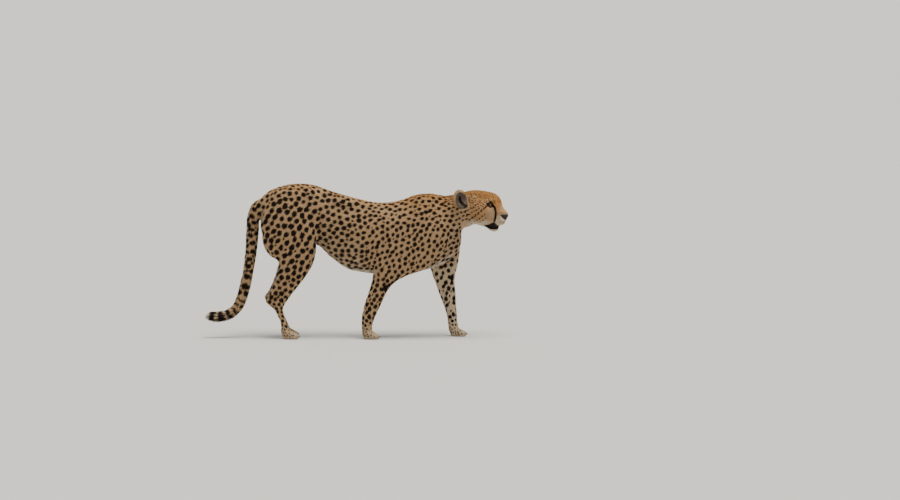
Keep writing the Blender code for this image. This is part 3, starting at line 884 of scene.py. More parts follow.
def enclosed(tree: BVHTree, point: Vector) -> bool:
    """Whether a point lies within a closed mesh: a ray from it leaves through an odd number of walls.

    Args:
        tree: the mesh's faces.
        point: the place asked about.

    Returns:
        True inside.
    """
    way = Vector((0.83, 0.13, 0.54))
    walls = 0
    place = tree.ray_cast(point, way)[0]
    while place is not None:
        walls += 1
        place = tree.ray_cast(place + way * MERGING, way)[0]
    return walls % 2 == 1


def pushed(points: Array, dabs: tuple[Dab, ...]) -> Array:
    """The points after every dab, each on both sides of the body.

    Args:
        points: one row for each.
        dabs: in the order in which they press.

    Returns:
        The moved points.
    """
    points = points.copy()
    for dab in dabs:
        for way in (1.0,) if dab.centre[1] == 0 else (1.0, -1.0):
            points += dab.shift(points, way)
    return points


@dataclass
class Relief:
    """The muscles and bones that show under the coat, over what the solids give."""

    dabs: tuple[Dab, ...] = (
        Dab((-196, 100, 590), (20, 50, 70), (2, -12, 0)),  # fold before the haunch
        Dab((-190, 100, 490), (20, 50, 50), (3, -11, 0)),
        Dab((-310, 100, 560), (75, 50, 70), (0, 4, 0)),  # haunch
        Dab((-250, 60, 735), (30, 25, 22), (0, 1, 3.5)),  # hip bone
        Dab((-400, 75, 640), (28, 40, 50), (0, -4.5, 0)),  # hollow behind the hip
        Dab((-215, 85, 420), (26, 35, 30), (2, 3, 0)),  # knee
        Dab((318, 85, 600), (20, 50, 75), (0, 5, 0)),  # ridge of the shoulder blade
        Dab((362, 85, 610), (20, 50, 60), (0, -3.5, 0)),  # before the blade
        Dab((262, 85, 600), (26, 50, 70), (0, -4, 0)),  # behind the blade
        Dab((400, 80, 500), (30, 40, 35), (2, 4.5, 0)),  # point of the shoulder
        Dab((215, 95, 440), (50, 45, 45), (0, 4.5, 0)),  # upper arm
        Dab((135, 95, 470), (20, 45, 60), (0, -5.5, 0)),  # fold behind the elbow
        Dab((-50, 100, 640), (120, 40, 18), (0, -3, 0)),  # below the loin
        Dab((-50, 0, 700), (260, 11, 60), (0, 0, -2.2)),  # groove of the spine
    )
    rib_gap: float = 0.030
    rib_rise: float = 0.0011
    toe_end: float = 0.0020
    cleft: Dab = Dab((-13, 0, 17), (24, 4.2, 18), (-5, 0, -4))  # placed about the paw's front

    def shape(self, mesh: Mesh) -> None:
        """Gives the body's relief to the skin.

        Args:
            mesh: the skin, changed in place.
        """
        points = points_of(mesh)
        moved = pushed(points, self.dabs)
        x, y, z = points.T
        cage = ramp(x, -0.06, 0.02) * (1 - ramp(x, 0.15, 0.22)) * ramp(z, 0.43, 0.49)
        cage *= (1 - ramp(z, 0.58, 0.64)) * ramp(np.abs(y), 0.05, 0.08)
        ribs = self.rib_rise * np.sin((x + 0.35 * z) * FULL_TURN / self.rib_gap) * cage
        moved += normals_of(mesh) * ribs[:, None]
        for _, _, low, high in paws():
            for rank in (-1, 0, 1):
                front = (high.x, (low.y + high.y) / 2 + rank * TOE_GAP, 0.0)
                moved += self.cleft.shift(moved - front, fade=1.5)
        for root, yaw in Claws().roots():
            way = np.array(yaw @ Vector((1, 0, 0)))
            away = moved - np.array(root)
            ahead = away @ way
            aside = lengths(away - ahead[:, None] * way)
            over = np.maximum(ahead - self.toe_end, 0.0) * (1 - ramp(aside, 0.005, 0.009)) * (ahead < 0.03)
            moved -= over[:, None] * way
        moved[:, 2] = np.maximum(moved[:, 2], 0.0)
        set_points(mesh, moved)


@dataclass
class Face:
    """The modelling of the head's skin: lids, muzzle, philtrum and cheeks."""

    lid: float = 0.0013
    lid_fold: float = 0.0012  # depth of the crease over the upper lid
    nose_sink: float = 0.0105
    nose_back: Pair = (0.7135, 0.6085)  # ahead of here the muzzle is narrowed
    nose_slope: Pair = (0.733, 0.680)
    nose_flank: Line = ((0.586, 0.600, 0.612), (0.0080, 0.0150, 0.0200))  # heights, and half widths there
    dabs: tuple[Dab, ...] = (
        Dab((690, 46, 640), (18, 20, 20), (-1, -3.5, 0)),  # hollow below the eye
        Dab((702, 37, 598), (10, 16, 22), (0, -3, 0)),  # behind the whisker pad
        Dab((722, 26, 590), (16, 18, 16), (1, 3, -1)),  # whisker pad
        Dab((746, 0, 582), (16, 4.2, 20), (-5, 0, 0)),  # philtrum
        Dab((673, 34, 690), (20, 14, 10), (2.5, 1.5, 2)),  # brow
        Dab((690, 0, 716), (40, 8, 30), (-1.5, 0, -1.2)),  # furrow
        Dab((612, 69, 628), (36, 24, 32), (0, 2.2, 0)),  # cheek
        Dab((708, 0, 553), (6, 30, 6), (-3, 0, -2)),  # front of the lower lip
    )

    def shape(self, mesh: Mesh) -> None:
        """Shapes the face in the skin.

        Args:
            mesh: the skin, changed in place.
        """
        points = pushed(points_of(mesh), self.dabs)
        past = (points[:, [0, 2]] - self.nose_back) @ self.nose_slope
        beside = ramp(past, -0.004, 0.004) * (1 - ramp(points[:, 2], 0.614, 0.632))
        over = np.maximum(np.abs(points[:, 1]) - np.interp(points[:, 2], *self.nose_flank), 0.0)
        points[:, 1] -= np.sign(points[:, 1]) * over * 0.85 * beside
        leather = 1 - ramp(nose_distance(points), -0.0026, 0.0012)
        points -= normals_of(mesh) * (self.nose_sink * leather)[:, None]
        for side in SIDES:
            self.lids(points, Socket(side))
        set_points(mesh, points)

    def lids(self, points: Array, socket: Socket) -> None:
        """Draws the skin over the eyeball, and tucks it under between the lids.

        Args:
            points: the skin's points, changed in place.
            socket: the eye that they close round.
        """
        across, rise, distance = socket.angles(points)
        opening = socket.opening(points)
        ball = socket.radius
        crease = self.lid_fold * np.exp(-(((opening - 1.75) / 0.16) ** 2)) * (rise > 0)
        lid = ball + self.lid + 0.0010 * ramp(opening, 1.2, 1.7) - crease
        share = (1 - ramp(opening, 1.35, 2.5)) * (1 - ramp(distance, ball + 0.005, ball + 0.014))
        tuck = 1 - ramp(distance, ball + 0.005, ball + 0.010)
        tucked = distance + (ball - 0.0020 - distance) * tuck
        target = np.where(opening < 1.0, tucked, distance + (lid - distance) * share)
        near = (distance < 0.040) & (np.abs(across) < 1.5) & (opening < 2.5)
        scale = np.where(near, target / np.maximum(distance, 1e-9), 1.0)
        points[:] = socket.centre() + (points - socket.centre()) * scale[:, None]


# --- Places spread over the skin ---


class Scatter:
    """Places spread evenly over a mesh, each within one of its triangles."""

    steps = (0.7549, 0.5698)  # from one place of a triangle to its next

    def __init__(self, mesh: Mesh, spacing: Array, seed: int) -> None:
        """Spreads the places.

        Args:
            mesh: the surface.
            spacing: how far apart they lie at each of its points; infinite for none.
            seed: picks the pattern.
        """
        mesh.calc_loop_triangles()
        flat = np.empty(len(mesh.loop_triangles) * 3, np.int32)
        mesh.loop_triangles.foreach_get("vertices", flat)
        corners = flat.reshape(-1, 3)
        first, second, third = points_of(mesh)[corners].transpose(1, 0, 2)
        area = lengths(np.cross(second - first, third - first)) / 2
        wanted = np.cumsum(area / 0.866 * (spacing ** -2.0)[corners].mean(1))
        counts = np.diff(np.floor(wanted), prepend=0).astype(int)
        owner = np.repeat(np.arange(len(corners)), counts)
        rank = np.arange(len(owner)) - np.repeat(np.cumsum(counts) - counts, counts)
        start = np.random.default_rng(seed).random((len(corners), 2))[owner]
        across = (start + rank[:, None] * self.steps) % 1.0
        across = np.where(across.sum(1, keepdims=True) > 1, 1 - across, across)
        self.weights = np.column_stack((1 - across.sum(1), across))
        self.corners = corners[owner]
        self.count = len(owner)
        self.nearest = self.corners[np.arange(self.count), self.weights.argmax(1)]

    def mixed(self, values: Array) -> Array:
        """The values of the mesh's points, mixed at each place."""
        weights = self.weights if values.ndim == 1 else self.weights[:, :, None]
        return (values[self.corners] * weights).sum(1)

    def places(self, skin: Places) -> Places:
        """The scattered places, from those of the mesh's points."""
        return Places(self.mixed(skin.points), unit(self.mixed(skin.normals)), self.mixed(skin.shares))


# --- The markings ---


MARKS = ("spot", "pale", "warm", "white", "grey")


def nearest_on(places: Array, line: Line) -> tuple[Array, Array]:
    """The nearest spot of a line of straight stretches, for each place.

    Args:
        places: where, two numbers to a row.
        line: the line's corners.

    Returns:
        How far that spot is from the place, and from the line's start along the line.
    """
    best = np.full(len(places), np.inf)
    run = np.zeros(len(places))
    corners = np.array(line)
    start_run = 0.0
    for start, end in zip(corners, corners[1:]):
        along = end - start
        share = np.clip((places - start) @ along / (along @ along), 0, 1)
        reach = lengths(places - start - share[:, None] * along)
        length = float(np.linalg.norm(along))
        run = np.where(reach < best, start_run + share * length, run)
        best = np.minimum(best, reach)
        start_run += length
    return best, run


def marked(where: Array, depth: Array) -> Array:
    """A mark's depth where it may lie, and bare ground elsewhere."""
    return np.where(where, depth, -1.0)


def disc(places: Array, centre: Pair, scale: Pair, edge: Pair) -> Array:
    """A soft round patch.

    Args:
        places: where, two numbers to a row.
        centre: its middle.
        scale: how fast it fades both ways.
        edge: from where to where it fades.

    Returns:
        1 at its middle and 0 outside, for each place.
    """
    return 1 - ramp(lengths((places - centre) * scale), *edge)


@dataclass(frozen=True)
class Ear:
    """One ear's place, and which way it opens and rises."""

    side: str
    facing: Triple = (0.70, 0.70, 0.05)
    rise: Triple = (-0.20, 0.34, 0.92)
    half_width: float = 0.041
    half_height: float = 0.047

    def seen(self, here: Places) -> tuple[Array, Array, Array, Array]:
        """Each place as seen from the front of the ear.

        Args:
            here: places on the skin.

        Returns:
            How far it lies towards the front edge and towards the top, as shares of the ear's half
            width and half height; how much it faces forwards; and how much it belongs to the ear.
        """
        mirror = np.array((1.0, SIDES[self.side], 1.0))
        facing = unit(np.array(self.facing) * mirror)
        rise = np.array(self.rise) * mirror
        rise = unit(rise - facing * (rise @ facing))
        forward = np.cross(rise, facing)
        forward *= np.sign(forward[0])
        away = here.points - middle(f"{self.side}_ear")
        near = here.share("ear") * (here.points[:, 1] * SIDES[self.side] > 0)
        return away @ forward / self.half_width, away @ rise / self.half_height, here.normals @ facing, near


@dataclass(frozen=True)
class Blotch:
    """One large mark given on a side of the body."""

    side: str
    place: Pair  # ahead and up
    radius: float
    axis: Triple
    stretch: float
    outward: float = 1.0  # -1 on the inner side of a limb


@dataclass(frozen=True)
class Spot:
    """One spot of the coat, stretched along its axis."""

    centre: Array
    radius: float
    axis: Array
    stretch: float


@dataclass
class Markings:
    """The coat's pattern, told alike for the skin and for the roots of its tufts."""

    skin: Skin
    wobble: float = 0.14
    trial: float = 0.0040  # how far apart the places lie that are tried for spots
    crowding: float = 0.80  # the least distance between two spots, as a share of the usual one
    second: float = 0.86  # the same for the small spots in between
    ankle: Pair = (0.035, 0.110)  # heights between which the paws' spots grow
    tear_line: Line = (
        (0.674, 0.668), (0.684, 0.654), (0.6895, 0.636), (0.6890, 0.610), (0.6850, 0.588), (0.6800, 0.570),
    )
    tear_half_width: float = 0.0056
    streak_stretch: Triple = (0.45, 1.7, 1.1)
    streak_size: float = 0.0095
    streak_level: float = 0.26
    streak_depth: float = 0.004
    cheek_line: Line = ((0.646, 0.664), (0.630, 0.652), (0.606, 0.632), (0.580, 0.610), (0.557, 0.596))
    cheek_half_width: float = 0.0034
    cheek_dashes: tuple[float, float, float] = (0.0026, 0.0150, 0.0004)  # swing, length and thinning
    cheek_rows: tuple[tuple[float, float, float, float, int], ...] = (  # from, to, how many spots
        (0.634, 0.622, 0.585, 0.585, 5),
        (0.640, 0.605, 0.598, 0.578, 4),
        (0.606, 0.655, 0.548, 0.615, 6),
        (0.600, 0.675, 0.545, 0.640, 6),
    )
    cheek_spot: float = 0.0036
    lip_crest: Line = (  # ahead, and how high the black runs
        (0.634, 0.660, 0.684, 0.690, 0.7050), (0.566, 0.574, 0.586, 0.576, 0.555),
    )
    lip_shade: float = 0.055
    lip_line: float = 0.0021
    # the lower band: partly the lips' black, partly painted shade of the open mouth
    lip_band: float = 0.0150
    lip_end: float = 0.7060
    lid_black: float = 1.62
    lid_reach: float = 0.0240  # how far from the eye's middle the black round the lids may run
    tail_line: Line = (
        (-0.765, 0.112), (-0.747, 0.109), (-0.671, 0.107), (-0.6165, 0.142), (-0.584, 0.196),
        (-0.568, 0.261), (-0.557, 0.348), (-0.549, 0.435), (-0.541, 0.521), (-0.530, 0.608),
    )
    tail_rings: Line = (  # from the tip, and half the width
        (0.056, 0.0170), (0.095, 0.0170), (0.134, 0.0125), (0.168, 0.0095), (0.198, 0.0070), (0.226, 0.0060),
    )
    tail_ringed: float = 0.245
    white_tip: float = 0.036
    plain_toes: float = 0.030
    blotches: tuple[Blotch, ...] = (
        Blotch("right", (0.140, 0.264), 0.0128, (0.25, 0.0, 1.0), 1.5),
        Blotch("left", (0.470, 0.300), 0.0120, (0.0, 0.0, 1.0), 1.4, -1.0),
        Blotch("left", (0.478, 0.240), 0.0100, (0.0, 0.0, 1.0), 1.3, -1.0),
    )

    def tail_run(self, here: Places) -> Array:
        """How far along the tail each place lies, from its tip."""
        return nearest_on(here.side_view, self.tail_line)[1]

    def unspotted(self, here: Places, chance: Array) -> Array:
        """Where no spot may grow: toes, muzzle, ears, throat, and most of the belly and inner legs.

        Args:
            here: places on the skin.
            chance: a random number from 0 to 1 for each.

        Returns:
            True for each place that stays plain.
        """
        x, y, z = here.points.T
        plain = (here.share("head") > 0.5) & ((x > 0.690) | (z < 0.655 + 0.25 * (x - 0.60)))
        plain |= here.share("lower_jaw", "ear") > 0.4
        for _, way, _, high in paws():
            toes = (x > high.x - self.plain_toes) & (x < high.x + 0.01)
            plain |= toes & (z < 0.045) & (y * way > 0)
        plain |= (here.share(*TAIL_END) > 0.5) & (self.tail_run(here) < self.tail_ringed)
        plain |= (z < 0.012) | (here.share("neck") * ramp(-here.up, 0.3, 0.8) > 0.45)
        belly = here.share(*TORSO) * ramp(-here.up, 0.5, 0.9)
        inner = here.share("forearm", "lower_hind_leg", "thigh", "upper_foreleg", "hind_foot")
        inner = inner * ramp(here.inward, 0.2, 0.8)
        return plain | (chance < np.maximum(belly * 0.98, inner * 0.80))

    def placed_spots(self) -> list[Spot]:
        """Every spot: large ones first, small ones between them, then the listed ones.

        Returns:
            The spots, in the order in which they are drawn.
        """
        mesh = self.skin.object.data
        scatter = Scatter(mesh, np.full(len(mesh.vertices), self.trial), SEED + 1)
        order = np.random.default_rng(SEED).permutation(scatter.count)
        here = scatter.places(self.skin.places()).only(order)
        lies = unit(scatter.mixed(self.skin.lies))[order]
        draw = np.random.default_rng(SEED + 4)
        nape = here.share("neck") * ramp(here.up, 0.1, 0.8)
        spine = here.share(*TORSO) * ramp(here.up, 0.75, 0.98)
        crown = here.share("head") * ramp(here.up, 0.2, 0.7)
        fine = (1 - 0.45 * nape) * (1 - 0.22 * spine) * (1 - 0.25 * crown)
        ankle = here.share("fore_paw", "hind_paw") * ramp(here.points[:, 2], *self.ankle)
        gaps = self.crowding * here.grown("gap") * fine * (1 + 0.8 * ankle)
        radii = here.grown("spot") * fine * (1 + 1.5 * ankle)
        long = 1 + 0.9 * crown + 0.20 * here.share("chest", "upper_foreleg", "forearm", "thigh")
        long -= 0.30 * here.share("tail_root", "tail_middle")
        rows = ~self.unspotted(here, draw.random(scatter.count))
        points, normals = here.points[rows], here.normals[rows]
        lies, gaps, radii, long = (values[rows] for values in (lies, gaps, radii, long))
        kept = self.evened(points, self.spaced(points, gaps, []))
        large = len(kept)
        spots = []
        for rank, i in enumerate(self.spaced(points, gaps * self.second, kept)):
            size = draw.uniform(0.88, 1.12) if rank < large else draw.uniform(0.40, 0.62)
            tilt = lies[i] + np.cross(normals[i], lies[i]) * draw.uniform(-0.5, 0.5)
            stretch = long[i] * draw.uniform(0.92, 1.22)
            spots.append(Spot(points[i], radii[i] * size / math.sqrt(stretch), unit(tilt), stretch))
        spots += [self.on_skin(blotch) for blotch in self.blotches]
        for side in SIDES:
            for x, z, end_x, end_z, count in self.cheek_rows:
                for share in np.linspace(0, 1, count):
                    place = (x + (end_x - x) * share, z + (end_z - z) * share + draw.uniform(-0.002, 0.002))
                    size = self.cheek_spot * draw.uniform(0.8, 1.1)
                    spots.append(self.on_skin(Blotch(side, place, size, (end_x - x, 0.0, end_z - z), 1.5)))
        return spots

    def on_skin(self, blotch: Blotch) -> Spot:
        """A listed mark, at its place on the skin.

        Args:
            blotch: the mark as it is seen from the side.

        Returns:
            The spot.
        """
        way = SIDES[blotch.side] * blotch.outward
        start = Vector((blotch.place[0], 0.07 * SIDES[blotch.side] + way * 0.06, blotch.place[1]))
        hit, place, _, _ = self.skin.object.ray_cast(start, Vector((0, -way, 0)))
        centre = np.array(place if hit else start)
        return Spot(centre, blotch.radius, unit(np.array(blotch.axis)), blotch.stretch)

    @staticmethod
    def spaced(points: Array, gaps: Array, kept: list[int], cell: float = 0.020) -> list[int]:
        """The places kept before, and each later one that is far enough from all of them.

        Args:
            points: the places, in the order in which they are tried.
            gaps: how far each has to be from the others.
            kept: indices kept so far.
            cell: the size of the cells that they are looked up in.

        Returns:
            The indices kept in the end.
        """
        kept = list(kept)
        cells: dict[tuple[int, int, int], list[int]] = {}
        where = [tuple(cell_at) for cell_at in np.floor(points / cell).astype(int).tolist()]
        for i in kept:
            cells.setdefault(where[i], []).append(i)
        taken = set(kept)
        rows = points.tolist()
        for i, gap in enumerate(gaps.tolist()):
            a, b, c = where[i]
            reach = range(-math.ceil(gap / cell), math.ceil(gap / cell) + 1)
            if i in taken or any(
                math.dist(rows[j], rows[i]) < gap
                for da in reach for db in reach for dc in reach
                for j in cells.get((a + da, b + db, c + dc), ())
            ):
                continue
            kept.append(i)
            cells.setdefault(where[i], []).append(i)
        return kept

    @staticmethod
    def evened(points: Array, kept: list[int], rounds: int = 4) -> list[int]:
        """The kept places, each moved to the middle of the ground nearest to it.

        Args:
            points: all places.
            kept: the indices of those kept.
            rounds: how often they are moved.

        Returns:
            The indices of the places that they end at.
        """
        everywhere = tree_of(points)
        for _ in range(rounds):
            tree = tree_of(points[kept])
            owner = np.array([tree.find(point)[1] for point in points.tolist()])
            counts = np.maximum(np.bincount(owner, minlength=len(kept)), 1)
            middles = np.stack([np.bincount(owner, column, len(kept)) / counts for column in points.T], 1)
            kept = list(dict.fromkeys(everywhere.find(place)[1] for place in middles.tolist()))
        return kept

    def spotted(self, points: Array) -> Array:
        """How deep each point lies in a spot, in centimetres; below 0 outside.

        Args:
            points: places on the skin.

        Returns:
            One depth for each.
        """
        tree = tree_of(points)
        depth = np.full(len(points), -1.0)
        size = 1 + self.wobble * ripple(points, 0.013, SEED + 2)
        for spot in self.placed_spots():
            found = tree.find_range(spot.centre, spot.radius * max(spot.stretch, 1.0) * 1.3 + 0.004)
            index = np.fromiter((hit[1] for hit in found), int, len(found))
            away = points[index] - spot.centre
            along = away @ spot.axis
            across = (away ** 2).sum(1) - along ** 2
            reach = np.sqrt(np.maximum(across, 0) + (along / spot.stretch) ** 2)
            depth[index] = np.maximum(depth[index], (spot.radius * size[index] - reach) * CENTIMETRES)
        return depth

    def face_lines(self, here: Places) -> list[Array]:
        """The nose, the tear lines and the broken lines of the cheeks, as depths in centimetres.

        Args:
            here: places on the skin.

        Returns:
            The depths of each kind of mark.
        """
        x = here.points[:, 0]
        beside = (here.share("head", "lower_jaw") > 0.3) & (np.abs(here.points[:, 1]) > 0.014)
        tear = self.tear_half_width - nearest_on(here.side_view, self.tear_line)[0]
        swing, length, thinning = self.cheek_dashes
        dashes = swing * np.sin(x * FULL_TURN / length) - thinning
        half_width = self.cheek_half_width + dashes * ramp(0.64 - x, 0.0, 0.02)
        cheek = half_width - nearest_on(here.side_view, self.cheek_line)[0]
        lines = marked(beside, np.maximum(tear, cheek) * CENTIMETRES)
        return [lines, -nose_distance(here.points) * CENTIMETRES]

    def lip_lines(self, here: Places) -> list[Array]:
        """The black of the lips, as depths in centimetres: edge, upper crest, and a lower band that is
        partly the lips' black and partly painted shade of the open mouth.

        Args:
            here: places on the skin.

        Returns:
            The depths of each kind of mark.
        """
        x, y, z = here.points.T
        mouth = self.skin.mouth
        head = here.share("head", "lower_jaw") > 0.3
        upper = mouth.upper_lip(here.points)
        drop = upper - mouth.shut(here.points) - z
        share = (x - mouth.corner[0] + 0.002) / (self.lip_end - mouth.corner[0])
        beside = head & (np.abs(y) > 0.006) & (share > 0)
        crest = np.minimum((np.interp(x, *self.lip_crest) - z) * CENTIMETRES, self.lip_shade)
        # The lower band is partly the lips' own black and partly painted shade of the open mouth.
        band = self.lip_band * np.sin(np.clip(share, 0, 1) * math.pi) ** 0.45 - drop
        return [
            marked(head, (self.lip_line - mouth.edge_distance(here.points)) * CENTIMETRES),
            marked(beside & (z > upper - 0.002) & (x < self.lip_crest[0][-1]), crest),
            marked(beside & (drop > -0.003) & (share < 1), band * CENTIMETRES),
        ]

    def lids_and_ears(self, here: Places) -> list[Array]:
        """The black round the eyes and on the backs of the ears, and the painted shadow in the ears' slits,
        as depths.

        Args:
            here: places on the skin.

        Returns:
            The depths of each kind of mark, side by side.
        """
        head = here.share("head", "lower_jaw") > 0.3
        found = []
        for side in SIDES:
            socket = Socket(side)
            distance = socket.angles(here.points)[2]
            lids = (self.lid_black - socket.opening(here.points)) * socket.radius * 50
            lids = np.minimum(lids, (self.lid_reach - distance) * CENTIMETRES)
            forward, up, facing, near = Ear(side).seen(here)
            back = (0.80 - np.hypot(forward, (up + 0.25) / 0.9)) * 3 + np.minimum(-facing * 4, 0.0)
            # The dark slit inside each ear is painted shadow of the ear's deep opening.
            slit = (0.15 - 0.10 * up - np.abs(forward - 0.20 - 0.28 * up)) * 4
            slit = np.minimum(slit, (0.58 - np.abs(up + 0.28)) * 4) + np.minimum(facing * 4, 0.0)
            found.append(marked(head & (distance < 0.032), lids))
            found.append(marked(near > 0.3, np.where(facing < 0, back, slit)))
        return found

    def rings(self, here: Places) -> Array:
        """The tail's dark rings, as depths in centimetres."""
        run = self.tail_run(here) + 0.0045 * ripple(here.points, 0.045, SEED + 6)
        gap = 1.2 * ramp(np.abs(ripple(here.points, 0.030, SEED + 9)), 0.25, 0.0) * ramp(run, 0.10, 0.20)
        bands = [(half_width - np.abs(run - place)) * CENTIMETRES for place, half_width in self.tail_rings]
        return marked(here.share(*TAIL_END) > 0.5, np.maximum.reduce(bands) - gap)

    def grizzled(self, here: Places) -> Array:
        """Broken brown streaks on the crown, forehead and nape, as depths in centimetres."""
        lines = ripple(here.points * self.streak_stretch, self.streak_size, SEED + 21)
        crown = here.share("head") * ramp(here.points[:, 2], 0.668, 0.690)
        nape = here.share("neck", "ear") * ramp(here.up, 0.35, 0.8)
        return marked(crown + nape > 0.3, np.minimum((lines - self.streak_level) * 0.5, self.streak_depth))

    def face_grounds(self, here: Places, wave: Array) -> tuple[Array, Array, Array]:
        """The ground colours of the head.

        Args:
            here: places on the skin.
            wave: the wobble of their edges.

        Returns:
            How pale, how warm and how white the head's hair is.
        """
        x, y, z = here.points.T
        view = here.side_view
        beside = np.abs(y) > 0.02
        muzzle = 0.72 * disc(view, (0.718, 0.588), (0.85, 1.1), (0.018, 0.044))
        cheek = 0.34 * disc(view, (0.664, 0.622), (1 / 0.85, 1 / 1.3), (0.004, 0.040))
        bridge = 0.36 * ramp(x, 0.678, 0.706) * ramp(z, 0.612, 0.630) * (1 - ramp(z, 0.636, 0.676))
        throat = ramp(0.575 - z + 0.35 * (0.60 - x), 0.0, 0.03) * (x < 0.66)
        brow = 0.25 * disc(view, (0.662, 0.694), (1.0, 1.6), (0.006, 0.016))
        beard = ramp(-here.up, 0.2, 0.8)
        pale = [muzzle, 0.5 * bridge, cheek * beside, throat, brow * beside, beard]
        forehead = 0.95 * ramp(z, 0.636, 0.684) * ramp(x, 0.655, 0.675)
        warm = [0.75 * ramp(here.up + wave, 0.25, 0.85), forehead, bridge]
        return np.maximum.reduce(pale), np.maximum.reduce(warm) + 0.42, 0.08 * muzzle

    def grounds(self, here: Places) -> dict[str, Array]:
        """The masks of the coat's ground colours.

        Args:
            here: places on the skin.

        Returns:
            How pale, warm and white the hair is, and how much the ears' insides are greyed by their own
            greyish hair and painted shade.
        """
        x, _, z = here.points.T
        wave = 0.12 * ripple(here.points, 0.045, SEED + 3)
        above = here.up + wave
        below = wave - here.up
        torso = here.share(*TORSO)
        legs = here.share("upper_foreleg", "forearm") + here.share("thigh", "lower_hind_leg", "hind_foot")
        head = here.share("head")
        jaw = here.share("lower_jaw")
        neck = here.share("neck")
        tail = here.share("tail_root", "tail_middle", "tail_tip")
        limb = 0.75 * ramp(here.inward + wave, 0.05, 0.70)
        limb = np.maximum(limb, 0.55 * ramp(here.aft + wave, 0.45, 0.95))
        foot = 0.25 * ramp(0.125 - z, 0.0, 0.07) + 0.45 * ramp(0.05 - z, 0.0, 0.04)
        face_pale, face_warm, face_white = self.face_grounds(here, wave)
        pale = torso * (0.25 * ramp(below, -0.25, 0.45) + 0.75 * ramp(below, 0.42, 0.92))
        pale += legs * limb + here.share("fore_paw", "hind_paw") * np.maximum(limb, foot)
        pale += neck * 0.75 * ramp(below, 0.35, 0.9) + jaw + head * face_pale
        pale += tail * np.maximum(0.75 * ramp(below + here.aft, 0.3, 1.1), 0.6 * ramp(-x, 0.58, 0.70))
        warm = torso * 0.55 * ramp(above, 0.62, 0.98) + neck * 0.8 * ramp(above, 0.05, 0.7)
        warm += here.share("chest") * 0.50 * ramp(above, 0.10, 0.65) * ramp(x, 0.18, 0.28)
        warm += head * face_warm + here.share("ear") * 0.3 + tail * 0.25 * ramp(here.up, 0.3, 0.9)
        tip = ramp(self.tail_run(here), self.white_tip + 0.004, self.white_tip - 0.004)
        white = here.share(*TAIL_END) * tip + jaw * 0.30 + head * face_white
        white += torso * 0.45 * ramp(below, 0.6, 0.95)
        grey = np.zeros(len(x))
        # Inside each ear the hair is greyed: its own greyish colour with painted shade over it.
        for side in SIDES:
            forward, rise, facing, near = Ear(side).seen(here)
            radius = np.hypot(forward, rise)
            grey += near * ramp(facing, -0.1, 0.3) * (1 - ramp(radius, 0.90, 1.05))
            pale += near * 0.6 * ramp(radius, 0.90, 1.03) * ramp(facing, -0.35, 0.2)
        return {"pale": pale, "warm": warm, "white": white, "grey": grey}

    def marks(self, here: Places) -> Array:
        """Every mark's value.

        Args:
            here: places on the skin.

        Returns:
            One row for each place, with a column for each of MARKS.
        """
        dark = [self.spotted(here.points), self.grizzled(here), self.rings(here)]
        dark += self.face_lines(here) + self.lip_lines(here) + self.lids_and_ears(here)
        found = {"spot": np.maximum.reduce(dark), **self.grounds(here)}
        return np.stack([np.clip(found[name], -1.0 if name == "spot" else 0.0, 1.0) for name in MARKS], 1)


# --- The coat ---


@dataclass
class Sheaf(Places):
    """The roots of many tufts, with all that shapes and colours them."""

    lies: Array
    shag: Array
    bald: Array
    labels: Array
    marks: Array  # a column for each of MARKS


@dataclass(frozen=True)
class Tuft:
    """The form of one tuft, point by point: its place, its lean, its faces and its bit of unwrap."""

    # along by the tuft's run and by its width, across, out by its rise, by its width and by its sink, sag
    places: tuple[tuple[float, ...], ...]
    leans: tuple[Pair, ...]  # of the normals: across and along
    faces: tuple[tuple[int, int, int], ...]
    patch: tuple[Pair, ...]
    spread: float  # disorder of the tufts' directions


SHORT_TUFT = Tuft(
    ((0, 0, 1, 0, 0, -1, 0), (0, 0, -1, 0, 0, -1, 0), (0, -0.55, 0, 0, 0.20, 0, 0), (1, 0, 0, 1, 0, 0, 0)),
    ((0.55, 0), (-0.55, 0), (0, -0.1), (0, 0.30)),
    ((0, 3, 1), (0, 2, 3), (1, 3, 2), (0, 1, 2)),
    ((0.0, 0.0), (1.0, 0.0), (0.5, 0.35), (0.5, 1.0)),
    0.42,
)
LONG_TUFT = Tuft(
    (
        (0, 0, 1, 0, 0, -1, 0), (0, 0, -1, 0, 0, -1, 0), (0, -0.35, 0, 0, 0.28, 0, 0),
        (0.5, 0, 0.7, 0.8, 0, 0, 0), (0.5, 0, -0.7, 0.8, 0, 0, 0), (0.5, 0, 0, 0.8, 0.224, 0, 0),
        (0.96, 0, 0, 1, 0, 0, 1),
    ),
    ((0.55, 0), (-0.55, 0), (0, -0.1), (0.5, 0), (-0.5, 0), (0, 0), (0, 0.35)),
    (
        (0, 1, 2), (0, 3, 4), (0, 4, 1), (0, 2, 5), (0, 5, 3),
        (1, 4, 5), (1, 5, 2), (3, 6, 4), (3, 5, 6), (4, 6, 5),
    ),
    ((0.0, 0.0), (1.0, 0.0), (0.5, 0.20), (0.1, 0.5), (0.9, 0.5), (0.5, 0.65), (0.5, 1.0)),
    0.55,
)


